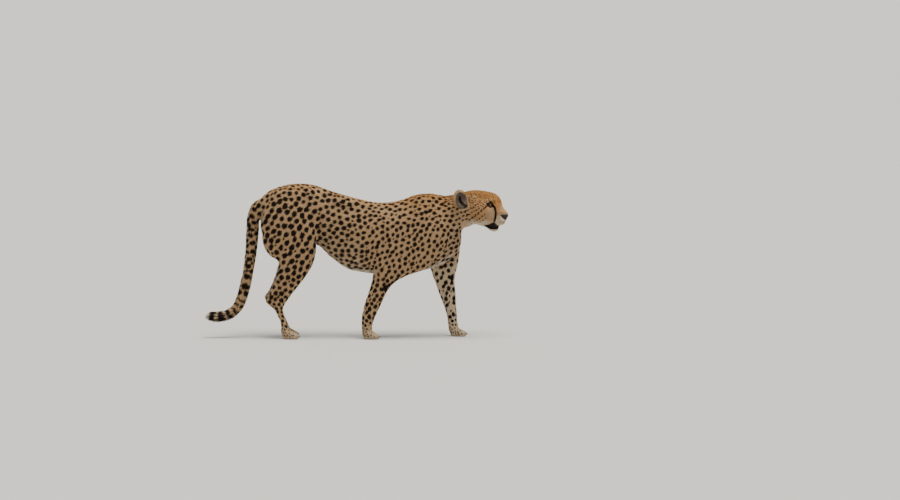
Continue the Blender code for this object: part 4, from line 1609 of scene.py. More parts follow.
def unwrapped(sheaf: Sheaf, rings: int = 10) -> Array:
    """Each root's place on an unwrap: a strip for each limb, along it and round it.

    Args:
        sheaf: the roots.
        rings: into how many rings a limb is cut to find its middle line.

    Returns:
        A place from 0 to 1 both ways for each root.
    """
    paired = np.isin(sheaf.labels, [NAMES.index(kind) for kind in PAIRED])
    chart = sheaf.labels * 3 + np.where(paired, np.where(sheaf.points[:, 1] < 0, 0, 1), 2)
    places = np.empty((len(chart), 2))
    start = 0.0
    for number in np.unique(chart):
        index = np.flatnonzero(chart == number)
        share = len(index) / len(chart)
        away = sheaf.points[index] - sheaf.points[index].mean(0)
        axes = np.linalg.eigh(away.T @ away)[1]
        across, beside, along = (away @ axes).T
        along = (along - along.min()) / max(np.ptp(along), 1e-9)
        bins = np.minimum((along * rings).astype(int), rings - 1)
        counts = np.maximum(np.bincount(bins, minlength=rings), 1)
        for values in (across, beside):
            values -= (np.bincount(bins, values, rings) / counts)[bins]
        angle = np.arctan2(across, beside) / FULL_TURN + 0.5
        places[index] = np.column_stack((along, start + share * angle))
        start += share
    low = places.min(0)
    return (places - low) / np.maximum(places.max(0) - low, 1e-9)


@dataclass
class Coat:
    """Tufts of short hair over the whole skin, and longer ones where the coat is shaggy."""

    skin: Skin
    markings: Markings
    sink: float = 0.0005  # how deep a tuft is rooted
    floor_gap: float = 0.0003  # how far the hair stays off the floor
    patch: float = 0.003  # a tuft's size on the unwrap
    most: int = 48000  # tufts in one piece of short hair
    long_most: int = 19000
    shaggy_spacing: float = 0.0034
    shaggy_from: float = 0.06
    skin_strand: float = 0.35  # the skin's shade among the tufts' random ones

    def bald(self, points: Array) -> Array:
        """How bare the skin is, from 0 to 1: soles, lips, lids and the nose.

        Args:
            points: the skin's points.

        Returns:
            One number for each.
        """
        bare = [
            1 - ramp(nose_distance(points), 0.0002, 0.0010),
            1 - ramp(self.skin.mouth.edge_distance(points), 0.0010, 0.0022),
            (points[:, 2] < 0.0016).astype(float),
        ]
        for side in SIDES:
            socket = Socket(side)
            close = socket.angles(points)[2] < socket.radius + 0.0035
            bare.append((1 - ramp(socket.opening(points), 1.08, 1.16)) * close)
        return np.maximum.reduce(bare)

    def shag(self, here: Places) -> Array:
        """How shaggy the coat is, from 0 to 1.

        Args:
            here: places on the skin.

        Returns:
            One number for each.
        """
        x, y, z = here.points.T
        up = here.up
        torso = here.share(*TORSO)
        neck = here.share("neck")
        crest = (1 - ramp(np.abs(y), 0.015, 0.045)) * ramp(up, 0.55, 0.9)
        crown = 0.26 * ramp(up, 0.45, 0.85) * ramp(0.66 - x, 0.0, 0.03)
        arms = ramp(here.aft, 0.5, 0.9) * ramp(z, 0.25, 0.34)
        found = torso * 0.75 * ramp(-up, 0.45, 0.9)
        found += crest * 0.65 * (neck + torso * ramp(x, 0.10, 0.26))
        found += neck * 0.45 * ramp(-up, 0.2, 0.8)
        found += here.share("thigh") * 0.45 * ramp(here.aft, 0.45, 0.9)
        found += here.share("upper_foreleg", "forearm") * 0.30 * arms
        found += here.share("head") * (0.30 * ramp(0.60 - x, 0.0, 0.04) * ramp(0.64 - z, 0.0, 0.03) + crown)
        found += here.share("lower_jaw") * 0.22 * ramp(-up, 0.2, 0.7) * (x > 0.66)
        found += here.share(*TAIL_END) * (0.25 + 0.55 * ramp(-x, 0.62, 0.72))
        found += here.share("tail_root", "tail_middle") * 0.30 * ramp(here.aft - up, 0.4, 1.0)
        for side in SIDES:
            forward, rise, facing, near = Ear(side).seen(here)
            found += near * 0.34 * ramp(facing, 0.1, 0.4) * (1 - ramp(np.hypot(forward, rise), 0.6, 0.9))
        return np.clip(found, 0, 1)

    def build(self) -> list[Thing]:
        """Makes every piece of the coat, and stores the marks on the skin.

        Returns:
            The pieces, each under 200,000 triangles.
        """
        skin = self.skin
        mesh = skin.object.data
        here = skin.places()
        bald = self.bald(here.points)
        shag = self.shag(here) * (1 - bald)
        short = np.where(bald > 0.5, np.inf, here.grown("spacing"))
        long = self.shaggy_spacing / np.sqrt(np.maximum(shag, 1e-3))
        long = np.where(shag < self.shaggy_from, np.inf, long)
        layers = [Scatter(mesh, short, SEED + 11), Scatter(mesh, long, SEED + 12)]
        parts = [here, *(layer.places(here) for layer in layers)]
        marks = self.markings.marks(Places.together(parts))
        ends = np.cumsum([len(part.points) for part in parts])
        on_skin, *on_layers = np.split(marks, ends[:-1])
        self.mark(mesh, on_skin, np.full(len(on_skin), self.skin_strand), np.zeros(len(on_skin)))
        made = []
        for layer, roots, found, shaggy in zip(layers, parts[1:], on_layers, (False, True)):
            sheaf = Sheaf(
                roots.points, roots.normals, roots.shares, unit(layer.mixed(skin.lies)),
                layer.mixed(shag), layer.mixed(bald), skin.labels[layer.nearest], found,
            )
            made += self.pieces(sheaf, shaggy)
        return made

    @staticmethod
    def mark(mesh: Mesh, marks: Array, strand: Array, along: Array) -> None:
        """Stores what colours the hair: the marks, each tuft's own shade and the place along it."""
        for name, values in zip((*MARKS, "strand", "along"), (*marks.T, strand, along)):
            mesh.attributes.new(name, "FLOAT", "POINT").data.foreach_set("value", values.astype(np.float32))

    def pieces(self, sheaf: Sheaf, shaggy: bool) -> list[Thing]:
        """Splits a layer into pieces small enough, and makes each.

        Args:
            sheaf: the roots of the layer's tufts.
            shaggy: whether its tufts are long ones.

        Returns:
            The pieces.
        """
        owners = np.array([growth.group for growth in GROWTHS.values()])[sheaf.labels]
        groups = {"long": np.arange(len(owners))} if shaggy else {
            name: np.flatnonzero(owners == name)
            for name in dict.fromkeys(growth.group for growth in GROWTHS.values())
        }
        made = []
        for name, index in groups.items():
            parts = max(1, math.ceil(len(index) / (self.long_most if shaggy else self.most)))
            ranked = index[np.argsort(sheaf.points[index, 0], kind="stable")]
            for number, part in enumerate(np.array_split(ranked, parts), 1):
                made.append(self.piece(f"coat_{name}_{number}", sheaf.only(part), shaggy))
        return made

    def piece(self, name: str, sheaf: Sheaf, shaggy: bool) -> Thing:
        """One mesh of tufts with its normals, marks and unwrap.

        Args:
            name: the piece's name.
            sheaf: the roots of its tufts.
            shaggy: whether they are long ones.

        Returns:
            The piece's object.
        """
        shape = LONG_TUFT if shaggy else SHORT_TUFT
        count = len(sheaf.points)
        points, normals = self.shaped(sheaf, shape, shaggy)
        size = len(shape.patch)
        faces = (np.array(shape.faces)[None] + np.arange(count)[:, None, None] * size).reshape(-1, 3)
        mesh = bpy.data.meshes.new(name)
        mesh.vertices.add(count * size)
        mesh.vertices.foreach_set("co", points.astype(np.float32).ravel())
        mesh.loops.add(faces.size)
        mesh.loops.foreach_set("vertex_index", faces.astype(np.int32).ravel())
        mesh.polygons.add(len(faces))
        mesh.polygons.foreach_set("loop_start", np.arange(0, faces.size, 3, dtype=np.int32))
        mesh.update(calc_edges=True)
        mesh.shade_smooth()
        mesh.normals_split_custom_set_from_vertices(normals.reshape(-1, 3))
        patch = np.array(shape.patch)
        strand = np.random.default_rng(SEED + count).random(count)
        marks = np.repeat(sheaf.marks, size, axis=0)
        self.mark(mesh, marks, np.repeat(strand, size), np.tile(patch[:, 1], count))
        corners = unwrapped(sheaf)[:, None] * (1 - self.patch) + patch[None] * self.patch
        layer = mesh.uv_layers.new(name="OFBake")
        layer.uv.foreach_set("vector", corners.reshape(-1, 2)[faces.ravel()].astype(np.float32).ravel())
        return new_object(name, mesh)

    @staticmethod
    def sizes(sheaf: Sheaf, shaggy: bool, chance: Array) -> tuple[Array, Array, Array, Array]:
        """The sizes of each tuft, partly by chance.

        Args:
            sheaf: the roots.
            shaggy: whether the tufts are long ones.
            chance: four random numbers for each.

        Returns:
            Each tuft's run along the skin, its width, its rise over the skin and its sag.
        """
        length, width, rise = (sheaf.grown(size) for size in ("length", "width", "depth"))
        bend, stretch, breadth, lift = chance.T
        if shaggy:
            length = length * (1.05 + 0.2 * bend) + 0.014 * sheaf.shag * (0.7 + 0.6 * stretch)
            rise = rise * (1.05 + 0.35 * lift) + 0.0022 * sheaf.shag
            return length, width * (0.80 + 0.30 * breadth), rise, length * 0.16 * sheaf.shag
        trim = 1 - 0.55 * sheaf.bald
        length = length * (0.78 + 0.44 * stretch) * trim
        rise = rise * (0.75 + 0.50 * lift) * trim
        run = np.sqrt(np.maximum(length ** 2 - rise ** 2, 1e-8))
        return run, width * (0.85 + 0.30 * breadth), rise, 0.0 * run

    def shaped(self, sheaf: Sheaf, shape: Tuft, shaggy: bool) -> tuple[Array, Array]:
        """Points and normals of tufts, which sweep along the skin in some disorder.

        Args:
            sheaf: the roots.
            shape: the form of each tuft.
            shaggy: whether the tufts are long ones.

        Returns:
            The points and their normals, tuft by tuft.
        """
        chance = np.random.default_rng(SEED + len(sheaf.points) + 1).random((len(sheaf.points), 4))
        turn = shape.spread * (chance[:, 0] - 0.5) + 0.16 * ripple(sheaf.points, 0.035, SEED + 8)
        beside = np.cross(sheaf.normals, sheaf.lies)
        lie = sheaf.lies * np.cos(turn)[:, None] + beside * np.sin(turn)[:, None]
        across = np.cross(sheaf.normals, lie)
        run, width, rise, sag = (size[:, None] for size in self.sizes(sheaf, shaggy, chance))
        out = sheaf.normals
        ways = np.stack([
            lie * run, lie * width, across * width / 2, out * rise, out * width, out * self.sink,
            np.array((0.0, 0.0, -1.0)) * sag,
        ])
        points = sheaf.points[:, None] + np.einsum("pw,wnc->npc", np.array(shape.places), ways)
        points[:, :, 2] = np.maximum(points[:, :, 2], self.floor_gap)
        leans = np.einsum("pw,wnc->npc", np.array(shape.leans), np.stack([across, lie]))
        return points, unit(out[:, None] + leans)


# --- Finishes ---


class Wiring:
    """A node tree being built: nodes, links and a few usual steps."""

    def __init__(self, tree: bpy.types.NodeTree) -> None:
        """Takes the tree."""
        self.tree = tree

    def node(self, kind: str, given: dict[str, object] | None = None, **settings: object) -> bpy.types.Node:
        """A new node.

        Args:
            kind: the node's type.
            given: what its inputs get, by their names.
            settings: its own settings.

        Returns:
            The node.
        """
        made = self.tree.nodes.new(kind)
        for name, value in settings.items():
            setattr(made, name, value)
        for name, value in (given or {}).items():
            self.feed(made.inputs[name], value)
        return made

    def feed(self, socket: Outlet, value: object) -> None:
        """Links an output to the socket, or sets the socket's own value.

        Args:
            socket: an input of a node.
            value: an output or a plain value.
        """
        if isinstance(value, Outlet):
            self.tree.links.new(value, socket)
        elif isinstance(value, tuple) and len(value) == 3 and socket.type == "RGBA":
            socket.default_value = (*value, 1.0)
        else:
            socket.default_value = value

    def maths(self, operation: str, *values: object) -> Outlet:
        """The outcome of a Math node."""
        made = self.node("ShaderNodeMath", operation=operation)
        for socket, value in zip(made.inputs, values):
            self.feed(socket, value)
        return made.outputs[0]

    def step(self, value: object, start: float, end: float, low: float = 0.0, high: float = 1.0) -> Outlet:
        """The value mapped smoothly from one range to another."""
        made = self.node("ShaderNodeMapRange", interpolation_type="SMOOTHSTEP")
        for socket, given in zip(made.inputs, (value, start, end, low, high)):
            self.feed(socket, given)
        return made.outputs[0]

    def mix(self, share: object, first: object, second: object, blend: str = "MIX") -> Outlet:
        """Two colours mixed."""
        made = self.node("ShaderNodeMix", data_type="RGBA", blend_type=blend)
        for index, value in ((0, share), (6, first), (7, second)):
            self.feed(made.inputs[index], value)
        return made.outputs[2]

    def attribute(self, name: str) -> Outlet:
        """A number stored on the mesh."""
        return self.node("ShaderNodeAttribute", attribute_name=name).outputs["Fac"]

    def noise(self, scale: float, detail: float = 3.0, stretch: Triple = (1, 1, 1)) -> Outlet:
        """Noise on the object's own coordinates."""
        place = self.node("ShaderNodeTexCoord").outputs["Object"]
        mapping = self.node("ShaderNodeMapping", {"Vector": place, "Scale": stretch})
        given = {"Vector": mapping.outputs[0], "Scale": scale, "Detail": detail}
        return self.node("ShaderNodeTexNoise", given).outputs[0]

    def bump(self, height: Outlet, strength: float, distance: float, invert: bool = False) -> Outlet:
        """The normal that a height gives."""
        given = {"Strength": strength, "Distance": distance, "Height": height}
        return self.node("ShaderNodeBump", given, invert=invert).outputs[0]


@dataclass(frozen=True)
class Finish:
    """One plain colour with a roughness, and the base of every other finish."""

    name: str
    colour: Triple = (0.8, 0.8, 0.8)
    roughness: float = 0.5

    def material(self) -> Material:
        """Builds the material.

        Returns:
            The material.
        """
        made = bpy.data.materials.new(self.name)
        made.use_nodes = True
        wiring = Wiring(made.node_tree)
        shader = made.node_tree.nodes["Principled BSDF"]
        for name, value in self.inputs(wiring).items():
            wiring.feed(shader.inputs[name], value)
        return made

    def inputs(self, wiring: Wiring) -> dict[str, object]:
        """What the shader's sockets get, by their names.

        Args:
            wiring: the material's node tree.

        Returns:
            An output or a plain value for each.
        """
        return {"Base Color": self.colour, "Roughness": self.roughness}


@dataclass(frozen=True)
class FurColours:
    """The colours of the coat."""

    ground: Triple = (0.500, 0.322, 0.172)
    warm: Triple = (0.460, 0.215, 0.066)
    pale: Triple = (0.620, 0.500, 0.350)
    white: Triple = (0.760, 0.700, 0.600)
    # inside the ears: their own greyish hair, darkened with painted shade
    grey: Triple = (0.150, 0.115, 0.085)
    spot: Triple = (0.009, 0.005, 0.004)
    edge: float = 0.07  # softness of a mark's edge, in centimetres

    def group(self) -> bpy.types.NodeTree:
        """The node group that turns the stored marks into a colour.

        Returns:
            The group, with an input for each mark.
        """
        tree = bpy.data.node_groups.new("fur_colour", "ShaderNodeTree")
        for name in (*MARKS, "strand", "along"):
            tree.interface.new_socket(name.capitalize(), in_out="INPUT", socket_type="NodeSocketFloat")
        tree.interface.new_socket("Color", in_out="OUTPUT", socket_type="NodeSocketColor")
        wiring = Wiring(tree)
        given = wiring.node("NodeGroupInput").outputs
        colour = self.ground
        for mark in ("warm", "pale", "white", "grey"):
            colour = wiring.mix(given[mark.capitalize()], colour, getattr(self, mark))
        strand = wiring.step(given["Strand"], 0, 1, 0.80, 1.12)
        shade = wiring.maths("ADD", strand, wiring.step(given["Along"], 0, 1, -0.16, 0.08))
        grey = wiring.node("ShaderNodeCombineColor", dict.fromkeys(("Red", "Green", "Blue"), shade))
        colour = wiring.mix(1.0, colour, grey.outputs[0], "MULTIPLY")
        colour = wiring.mix(wiring.step(given["Spot"], -self.edge, self.edge), colour, self.spot)
        wiring.feed(wiring.node("NodeGroupOutput").inputs[0], colour)
        return tree


@dataclass(frozen=True)
class Fur(Finish):
    """The finish of skin and tufts."""

    roughness: float = 0.80
    colours: bpy.types.NodeTree | None = None
    grain: float = 0.0

    def inputs(self, wiring: Wiring) -> dict[str, object]:
        """What the shader's sockets get, by their names.

        Args:
            wiring: the material's node tree.

        Returns:
            An output or a plain value for each.
        """
        marks = {mark.capitalize(): wiring.attribute(mark) for mark in (*MARKS, "strand", "along")}
        found = {
            "Base Color": wiring.node("ShaderNodeGroup", marks, node_tree=self.colours).outputs["Color"],
            "Roughness": self.roughness,
            "Specular IOR Level": 0.12,
            "Sheen Weight": 0.05,
            "Sheen Roughness": 0.5,
            "Sheen Tint": (1.0, 0.92, 0.80),
        }
        if self.grain:
            found["Normal"] = wiring.bump(wiring.noise(420.0, 4.0, (0.35, 1.0, 1.0)), self.grain, 0.001)
        return found


@dataclass(frozen=True)
class Iris(Finish):
    """The wet eye: a round pupil, a streaked amber iris, its dark edge, and dark skin beyond."""

    name: str = "eye_gloss"
    colour: Triple = (0.300, 0.130, 0.026)  # next to the pupil
    roughness: float = 0.10
    outer: Triple = (0.110, 0.040, 0.009)
    dark: Triple = (0.006, 0.004, 0.003)
    pupil: float = 0.215  # angles from the gaze
    edge: float = 0.540

    def inputs(self, wiring: Wiring) -> dict[str, object]:
        """What the shader's sockets get, by their names.

        Args:
            wiring: the material's node tree.

        Returns:
            An output or a plain value for each.
        """
        angle = wiring.attribute("from_gaze")
        colour = wiring.mix(wiring.step(angle, self.pupil, self.edge), self.colour, self.outer)
        streaks = wiring.step(wiring.noise(900.0, 2.0), 0.35, 0.65, 0.0, 0.35)
        colour = wiring.mix(streaks, colour, self.outer)
        colour = wiring.mix(wiring.step(angle, self.edge - 0.05, self.edge + 0.01), colour, self.dark)
        colour = wiring.mix(wiring.step(angle, self.pupil - 0.02, self.pupil + 0.02), self.dark, colour)
        return {"Base Color": colour, "Roughness": self.roughness, "Specular IOR Level": 0.22}


@dataclass(frozen=True)
class Hide(Finish):
    """Bare leathery skin or horn: one colour, mottled a little, with a fine pebbled grain."""

    mottle: Triple = (0.5, 0.5, 0.5)
    grain_scale: float = 900.0
    grain: float = 0.0

    def inputs(self, wiring: Wiring) -> dict[str, object]:
        """What the shader's sockets get, by their names.

        Args:
            wiring: the material's node tree.

        Returns:
            An output or a plain value for each.
        """
        share = wiring.step(wiring.noise(self.grain_scale * 0.12), 0.35, 0.70)
        given = {"Scale": self.grain_scale, "Vector": wiring.node("ShaderNodeTexCoord").outputs["Object"]}
        cells = wiring.node("ShaderNodeTexVoronoi", given, feature="SMOOTH_F1")
        return {
            "Base Color": wiring.mix(share, self.colour, self.mottle),
            "Roughness": self.roughness,
            "Specular IOR Level": 0.35,
            "Normal": wiring.bump(cells.outputs["Distance"], self.grain, 0.0006, True),
        }


class Finishes(Enum):
    """The bare finishes of the model."""

    # black leather of lips and lids, also worn by the mouth's lining as painted shade
    LIPS = Hide("lip_leather", (0.012, 0.009, 0.008), 0.50, (0.020, 0.015, 0.013), 900.0, 0.30)
    NOSE = Hide("nose_leather", (0.010, 0.008, 0.007), 0.52, (0.022, 0.016, 0.014), 950.0, 0.55)
    CLAW = Hide("claw_horn", (0.050, 0.036, 0.028), 0.35, (0.110, 0.085, 0.065), 500.0, 0.10)
    WHISKER = Hide("whisker_hair", (0.700, 0.660, 0.600), 0.45, (0.600, 0.560, 0.500), 500.0, 0.0)
    FLOOR = Finish("floor_paint", (0.62, 0.61, 0.59), 0.9)


# --- Eyes, nose, claws and whiskers ---


def tube_along(bm: BMesh, path: list[tuple[Vector, float]], sides: int) -> None:
    """Adds a closed, round, tapering tube that follows a path.

    Args:
        bm: the bmesh that takes the tube.
        path: the places of its middle line, and its radius at each.
        sides: how many sides it has.
    """
    rings = []
    last = len(path) - 1
    for i, (place, radius) in enumerate(path):
        ahead = (path[min(i + 1, last)][0] - path[max(i - 1, 0)][0]).normalized()
        ring = bmesh.ops.create_circle(bm, cap_ends=i in (0, last), segments=sides, radius=radius)
        turn = ahead.to_track_quat("Z", "Y").to_matrix().to_4x4()
        bmesh.ops.transform(bm, matrix=Matrix.Translation(place) @ turn, verts=ring["verts"])
        rings.append(ring["verts"])
    for loops in zip(rings, rings[1:]):
        edges = dict.fromkeys(
            edge for loop in loops for vertex in loop for edge in vertex.link_edges
            if all(end in loop for end in edge.verts)
        )
        bmesh.ops.bridge_loops(bm, edges=list(edges))


@dataclass
class Eyes:
    """Both eyeballs, each with a clear bulge over its iris."""

    cornea_angle: float = 0.62
    cornea_rise: float = 0.0011

    def build(self, socket: Socket) -> Thing:
        """One eyeball, which carries the angle from its gaze for the iris.

        Args:
            socket: the eye's place and gaze.

        Returns:
            The eyeball's object.
        """
        bm = bmesh.new()
        bmesh.ops.create_icosphere(bm, subdivisions=5, radius=socket.radius)
        gaze = Vector(socket.axes()[0])
        centre = Vector(socket.centre())
        angle = bm.verts.layers.float.new("from_gaze")
        for vertex in bm.verts:
            away = vertex.co.normalized().angle(gaze)
            vertex[angle] = away
            bulge = max(0.0, 1 - (away / self.cornea_angle) ** 2)
            vertex.co += vertex.co.normalized() * self.cornea_rise * bulge
            vertex.co += centre
        return object_from(f"{socket.side}_eyeball", bm)


@dataclass
class LidRims:
    """The black, bare edges of the lids."""

    radius: float = 0.0010
    steps: int = 40
    lift: float = 0.0006  # over the eyeball

    def edge(self, socket: Socket) -> list[Vector]:
        """Places along the edge of the lids, all the way round.

        Args:
            socket: the eye that they go round.

        Returns:
            The places, in order.
        """
        gaze, inner, up = socket.axes()
        reaches = np.linspace(0.1, 1.2, 111)
        places = []
        for turn in np.linspace(0, FULL_TURN, self.steps, endpoint=False):
            across = reaches * math.cos(turn)
            rise = reaches * math.sin(turn)
            directions = (
                np.outer(np.cos(rise) * np.cos(across), gaze)
                + np.outer(np.cos(rise) * np.sin(across), inner)
                + np.outer(np.sin(rise), up)
            )
            opening = socket.opening(socket.centre() + directions * socket.radius)
            first = directions[int(np.argmax(opening > 1.0))]
            places.append(Vector(socket.centre() + first * (socket.radius + self.lift)))
        return places

    def build(self, sockets: list[Socket]) -> Thing:
        """Rims round both eyes as one piece.

        Args:
            sockets: both eyes.

        Returns:
            The rims.
        """
        bm = bmesh.new()
        for socket in sockets:
            path = [(place, self.radius) for place in self.edge(socket)]
            tube_along(bm, path + path[:1], 8)
        return closed_object("lid_rims", bm)


@dataclass
class MouthLining:
    """The inside of the mouth, seen between the lips: black, as painted shade of the open mouth."""

    cuts: int = 11
    inset: float = 0.0055
    overlap: float = 0.0022
    front: float = 0.7055
    bulge: float = 0.0035
    narrow: float = 0.012  # half its width where the skin isn't met
    round_from: float = 0.55  # the share of the length past which it rounds off
    rounding: float = 0.62

    def build(self, skin: Thing, mouth: Mouth) -> Thing:
        """A wedge between the lips, as wide as the jaw allows, with a round front.

        Args:
            skin: the skin's object, whose width it keeps within.
            mouth: the lips' lines.

        Returns:
            The lining's object.
        """
        bm = bmesh.new()
        bmesh.ops.create_cube(bm, size=2.0)
        bmesh.ops.subdivide_edges(bm, edges=bm.edges[:], cuts=self.cuts, use_grid_fill=True)
        start = mouth.corner[0] + 0.001
        for vertex in bm.verts:
            share, side, rise = (vertex.co.x + 1) / 2, vertex.co.y, vertex.co.z
            x = start + (self.front - start) * share
            place = np.array([[x, 0.0, 0.0]])
            upper = float(mouth.upper_lip(place)[0])
            lower = upper - float(mouth.shut(place)[0])
            hit, wall, _, _ = skin.ray_cast(Vector((x, -0.2, lower - 0.004)), Vector((0, 1, 0)))
            past = max(0.0, share - self.round_from) / (1 - self.round_from)
            half = ((-wall.y if hit else self.narrow) - self.inset) * (1 - self.rounding * past ** 2.5)
            vertex.co = (
                x - self.bulge * (rise ** 2 + side ** 2) * share ** 3,
                side * half,
                (upper + lower) / 2 + rise * ((upper - lower) / 2 + self.overlap),
            )
        return closed_object("mouth_lining", bm)


@dataclass
class Nose:
    """The leather of the nose: nostrils, the groove between them, and a soft edge."""

    voxel: float = 0.0010
    passes: int = 9
    grow: float = 0.0012
    widen: float = 1.18
    lengthen: float = 1.22
    soften: int = 12
    nostrils: tuple[Dab, ...] = (
        Dab((746, 10.8, 603.5), (30, 4.4, 3.4), (-6.5, 0, 0)),  # nostril
        Dab((742, 17, 606), (30, 5.2, 2), (-5, -3, 0)),  # its slit
        Dab((746, 11, 611.5), (30, 7.5, 3.4), (1.6, 0, 1.2)),  # wing
        Dab((748, 0, 599), (30, 1.5, 16), (-2.4, 0, 0)),  # groove
        Dab((746, 5, 596), (30, 4, 6), (1, 0, 0)),
    )

    def build(self) -> Thing:
        """The nose, fused afresh from its solid and carved.

        Returns:
            The leather.
        """
        mesh = fused(swelled("nose", self.grow), self.voxel)
        net = Net(mesh)
        points = net.blurred(net.smoothed(points_of(mesh), self.passes), self.soften)
        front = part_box("nose")[1].x
        points[:, 0] = front + (points[:, 0] - front) * self.lengthen
        points[:, 1] *= self.widen
        points = net.blurred(pushed(points, self.nostrils), 1)
        set_points(mesh, points)
        mesh.shade_smooth()
        return new_object("nose_leather", mesh)


@dataclass
class Claws:
    """Blunt, half-drawn claws, which a cheetah never sheathes in full."""

    reach: float = 0.044
    setback: float = 0.010  # of the outer toes
    knuckle_back: float = 0.0700
    height: float = 0.0130
    length: float = 0.0120
    base: float = 0.0036
    ahead: float = 0.0165
    droop: float = 0.95

    def build(self) -> Thing:
        """All sixteen claws as one piece."""
        bm = bmesh.new()
        for root, yaw in self.roots():
            self.claw(bm, root, yaw)
        return closed_object("claws", bm)

    def roots(self) -> list[tuple[Vector, Matrix]]:
        """Where each claw leaves its toe, and which way it is turned.

        Returns:
            The place and the turn of each.
        """
        found = []
        for _, _, low, high in paws():
            knuckle = Vector((high.x - self.knuckle_back, (low.y + high.y) / 2, 0))
            for rank in (-1.5, -0.5, 0.5, 1.5):
                toe = self.reach - self.setback * (abs(rank) - 0.5)
                yaw = Matrix.Rotation(math.radians(rank * 5), 3, "Z")
                root = knuckle + Vector((toe, rank * TOE_GAP, self.height))
                found.append((root + yaw @ Vector((self.ahead - 0.002, 0, 0.0010)), yaw))
        return found

    def claw(self, bm: BMesh, root: Vector, yaw: Matrix) -> None:
        """Adds one toe's claw, curved down and narrowing to a blunt tip.

        Args:
            bm: the bmesh that takes it.
            root: where it leaves the toe.
            yaw: which way it is turned.
        """
        path = []
        for share in np.linspace(0, 1, 7):
            bend = self.droop * share
            along = self.length * math.sin(bend) / self.droop
            down = self.length * (1 - math.cos(bend)) / self.droop
            radius = self.base * (1 - 0.88 * share ** 1.4) * 0.72
            path.append((root + yaw @ Vector((along, 0, -down)), radius))
        tube_along(bm, path, 10)


@dataclass
class Whiskers:
    """Pale, springy whiskers from the pads of the upper lip."""

    rows: tuple[tuple[float, float, float, int], ...] = (  # front, height, length, how many
        (0.7250, 0.5985, 0.052, 3),
        (0.7260, 0.5920, 0.058, 4),
        (0.7260, 0.5855, 0.050, 3),
    )
    step: float = 0.0062
    root_radius: float = 0.00024
    tip_radius: float = 0.00006

    def build(self, skin: Thing) -> Thing:
        """All whiskers as one piece, rooted on the skin.

        Args:
            skin: the skin's object.

        Returns:
            The whiskers' object.
        """
        bm = bmesh.new()
        draw = np.random.default_rng(SEED + 5)
        for way in SIDES.values():
            for start, height, length, count in self.rows:
                for i in range(count):
                    place = Vector((start - self.step * i, way * 0.2, height + 0.0006 * i))
                    hit, root, _, _ = skin.ray_cast(place, Vector((0, -way, 0)))
                    if hit:
                        reach = length * draw.uniform(0.8, 1.1)
                        self.whisker(bm, root, way, reach, draw.uniform(-0.12, 0.12))
        return closed_object("whiskers", bm)

    def whisker(self, bm: BMesh, root: Vector, way: float, length: float, lift: float) -> None:
        """Adds one whisker that sweeps out, back and a little down.

        Args:
            bm: the bmesh that takes it.
            root: where it leaves the skin.
            way: its side.
            length: its length.
            lift: how much it rises as it goes.
        """
        path = []
        for share in np.linspace(0, 1, 7):
            run = length * share
            back = -0.30 * run - 0.45 * run * share
            out = 0.80 * run - 0.30 * run * share
            rise = (lift - 0.05) * run - 0.20 * run * share
            radius = self.root_radius + (self.tip_radius - self.root_radius) * share
            path.append((root + Vector((back, way * (out - 0.001), rise)), radius))
        tube_along(bm, path, 5)


# --- The studio ---


@dataclass(frozen=True)
class Softbox:
    """A distant, very wide lamp, which lights the whole floor alike."""

    name: str
    place: Triple  # the way to it from the body
    angle: float
    power: float
    colour: Triple = (1.0, 1.0, 1.0)


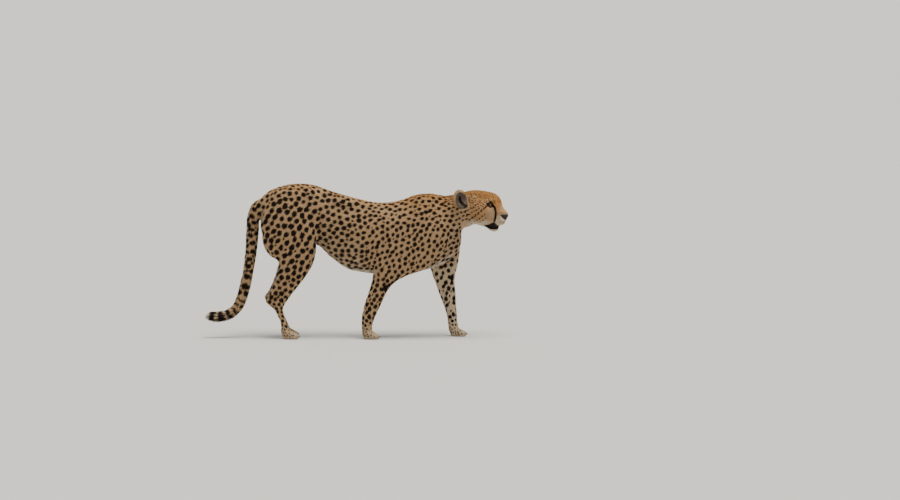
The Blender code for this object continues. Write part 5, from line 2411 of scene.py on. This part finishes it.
@dataclass
class Studio:
    """The pale floor, the lamps and the camera."""

    aim: Triple = (0.46, 0.0, 0.44)
    distance: float = 30.0
    elevation: float = 5.0
    lens: float = 240.0
    sensor: float = 36.0
    floor_size: float = 200.0
    sky: float = 0.42
    sky_colour: Triple = (0.94, 0.97, 1.0)
    lamps: tuple[Softbox, ...] = (
        Softbox("top_lamp", (0.15, -0.20, 1.0), 40.0, 4.5, (1.0, 0.95, 0.86)),
        Softbox("front_lamp", (0.6, -1.0, 0.35), 60.0, 0.34),
        Softbox("back_lamp", (-0.6, 1.0, 0.45), 60.0, 0.38),
    )

    def build(self) -> None:
        """Sets the floor, the light and the camera up."""
        bm = bmesh.new()
        bmesh.ops.create_grid(bm, x_segments=1, y_segments=1, size=self.floor_size / 2)
        floor = object_from("floor", bm)
        floor.data.materials.append(Finishes.FLOOR.value.material())
        for lamp in self.lamps:
            light = bpy.data.lights.new(lamp.name, "SUN")
            light.energy = lamp.power
            light.angle = math.radians(lamp.angle)
            light.color = lamp.colour
            self.placed(lamp.name, light, Vector(lamp.place) * 6, Vector())
        world = bpy.data.worlds.new("studio")
        world.use_nodes = True
        backdrop = world.node_tree.nodes["Background"]
        backdrop.inputs["Color"].default_value = (*self.sky_colour, 1)
        backdrop.inputs["Strength"].default_value = self.sky
        bpy.context.scene.world = world
        camera = bpy.data.cameras.new("camera")
        camera.lens = self.lens
        camera.sensor_width = self.sensor
        camera.clip_end = 500.0
        rise = math.radians(self.elevation)
        away = Vector((0, -math.cos(rise), math.sin(rise))) * self.distance
        target = Vector(self.aim)
        bpy.context.scene.camera = self.placed("camera", camera, target + away, target)

    @staticmethod
    def placed(name: str, data: bpy.types.ID, place: Vector, aim: Vector) -> Thing:
        """Puts a lamp or a camera at a place, looking at the aim.

        Args:
            name: what it is called.
            data: the lamp or camera.
            place: where it stands.
            aim: what it looks at.

        Returns:
            Its object.
        """
        made = bpy.data.objects.new(name, data)
        made.location = place
        made.rotation_euler = (aim - place).to_track_quat("-Z", "Y").to_euler()
        bpy.context.scene.collection.objects.link(made)
        return made


def main() -> None:
    """Builds and dresses the cheetah, and reports each piece."""
    logging.basicConfig(level=logging.INFO, format="%(message)s")
    skin = Skin()
    body = skin.build()
    colours = FurColours().group()
    hide = Fur("coat_skin", colours=colours, grain=0.5).material()
    tufts = Fur("coat_tufts", colours=colours).material()
    for layer in Coat(skin, Markings(skin)).build():
        mounted(layer, tufts, "coat")
    mounted(body, hide, "coat", *skin.flesh())
    sockets = [Socket(side) for side in SIDES]
    gloss = Iris().material()
    for socket in sockets:
        mounted(Eyes().build(socket), gloss, "eye", f"{socket.side}_eye")
    leather = Finishes.LIPS.value.material()
    mounted(LidRims().build(sockets), leather, "lips")
    # The mouth's lining wears the black leather as painted shade of the open mouth.
    mounted(MouthLining().build(body, skin.mouth), leather, "lips")
    mounted(Nose().build(), Finishes.NOSE.value.material(), "nose", "nose")
    mounted(Claws().build(), Finishes.CLAW.value.material(), "claw")
    mounted(Whiskers().build(body), Finishes.WHISKER.value.material(), "whisker")
    Studio().build()


if __name__ == "__main__":
    main()
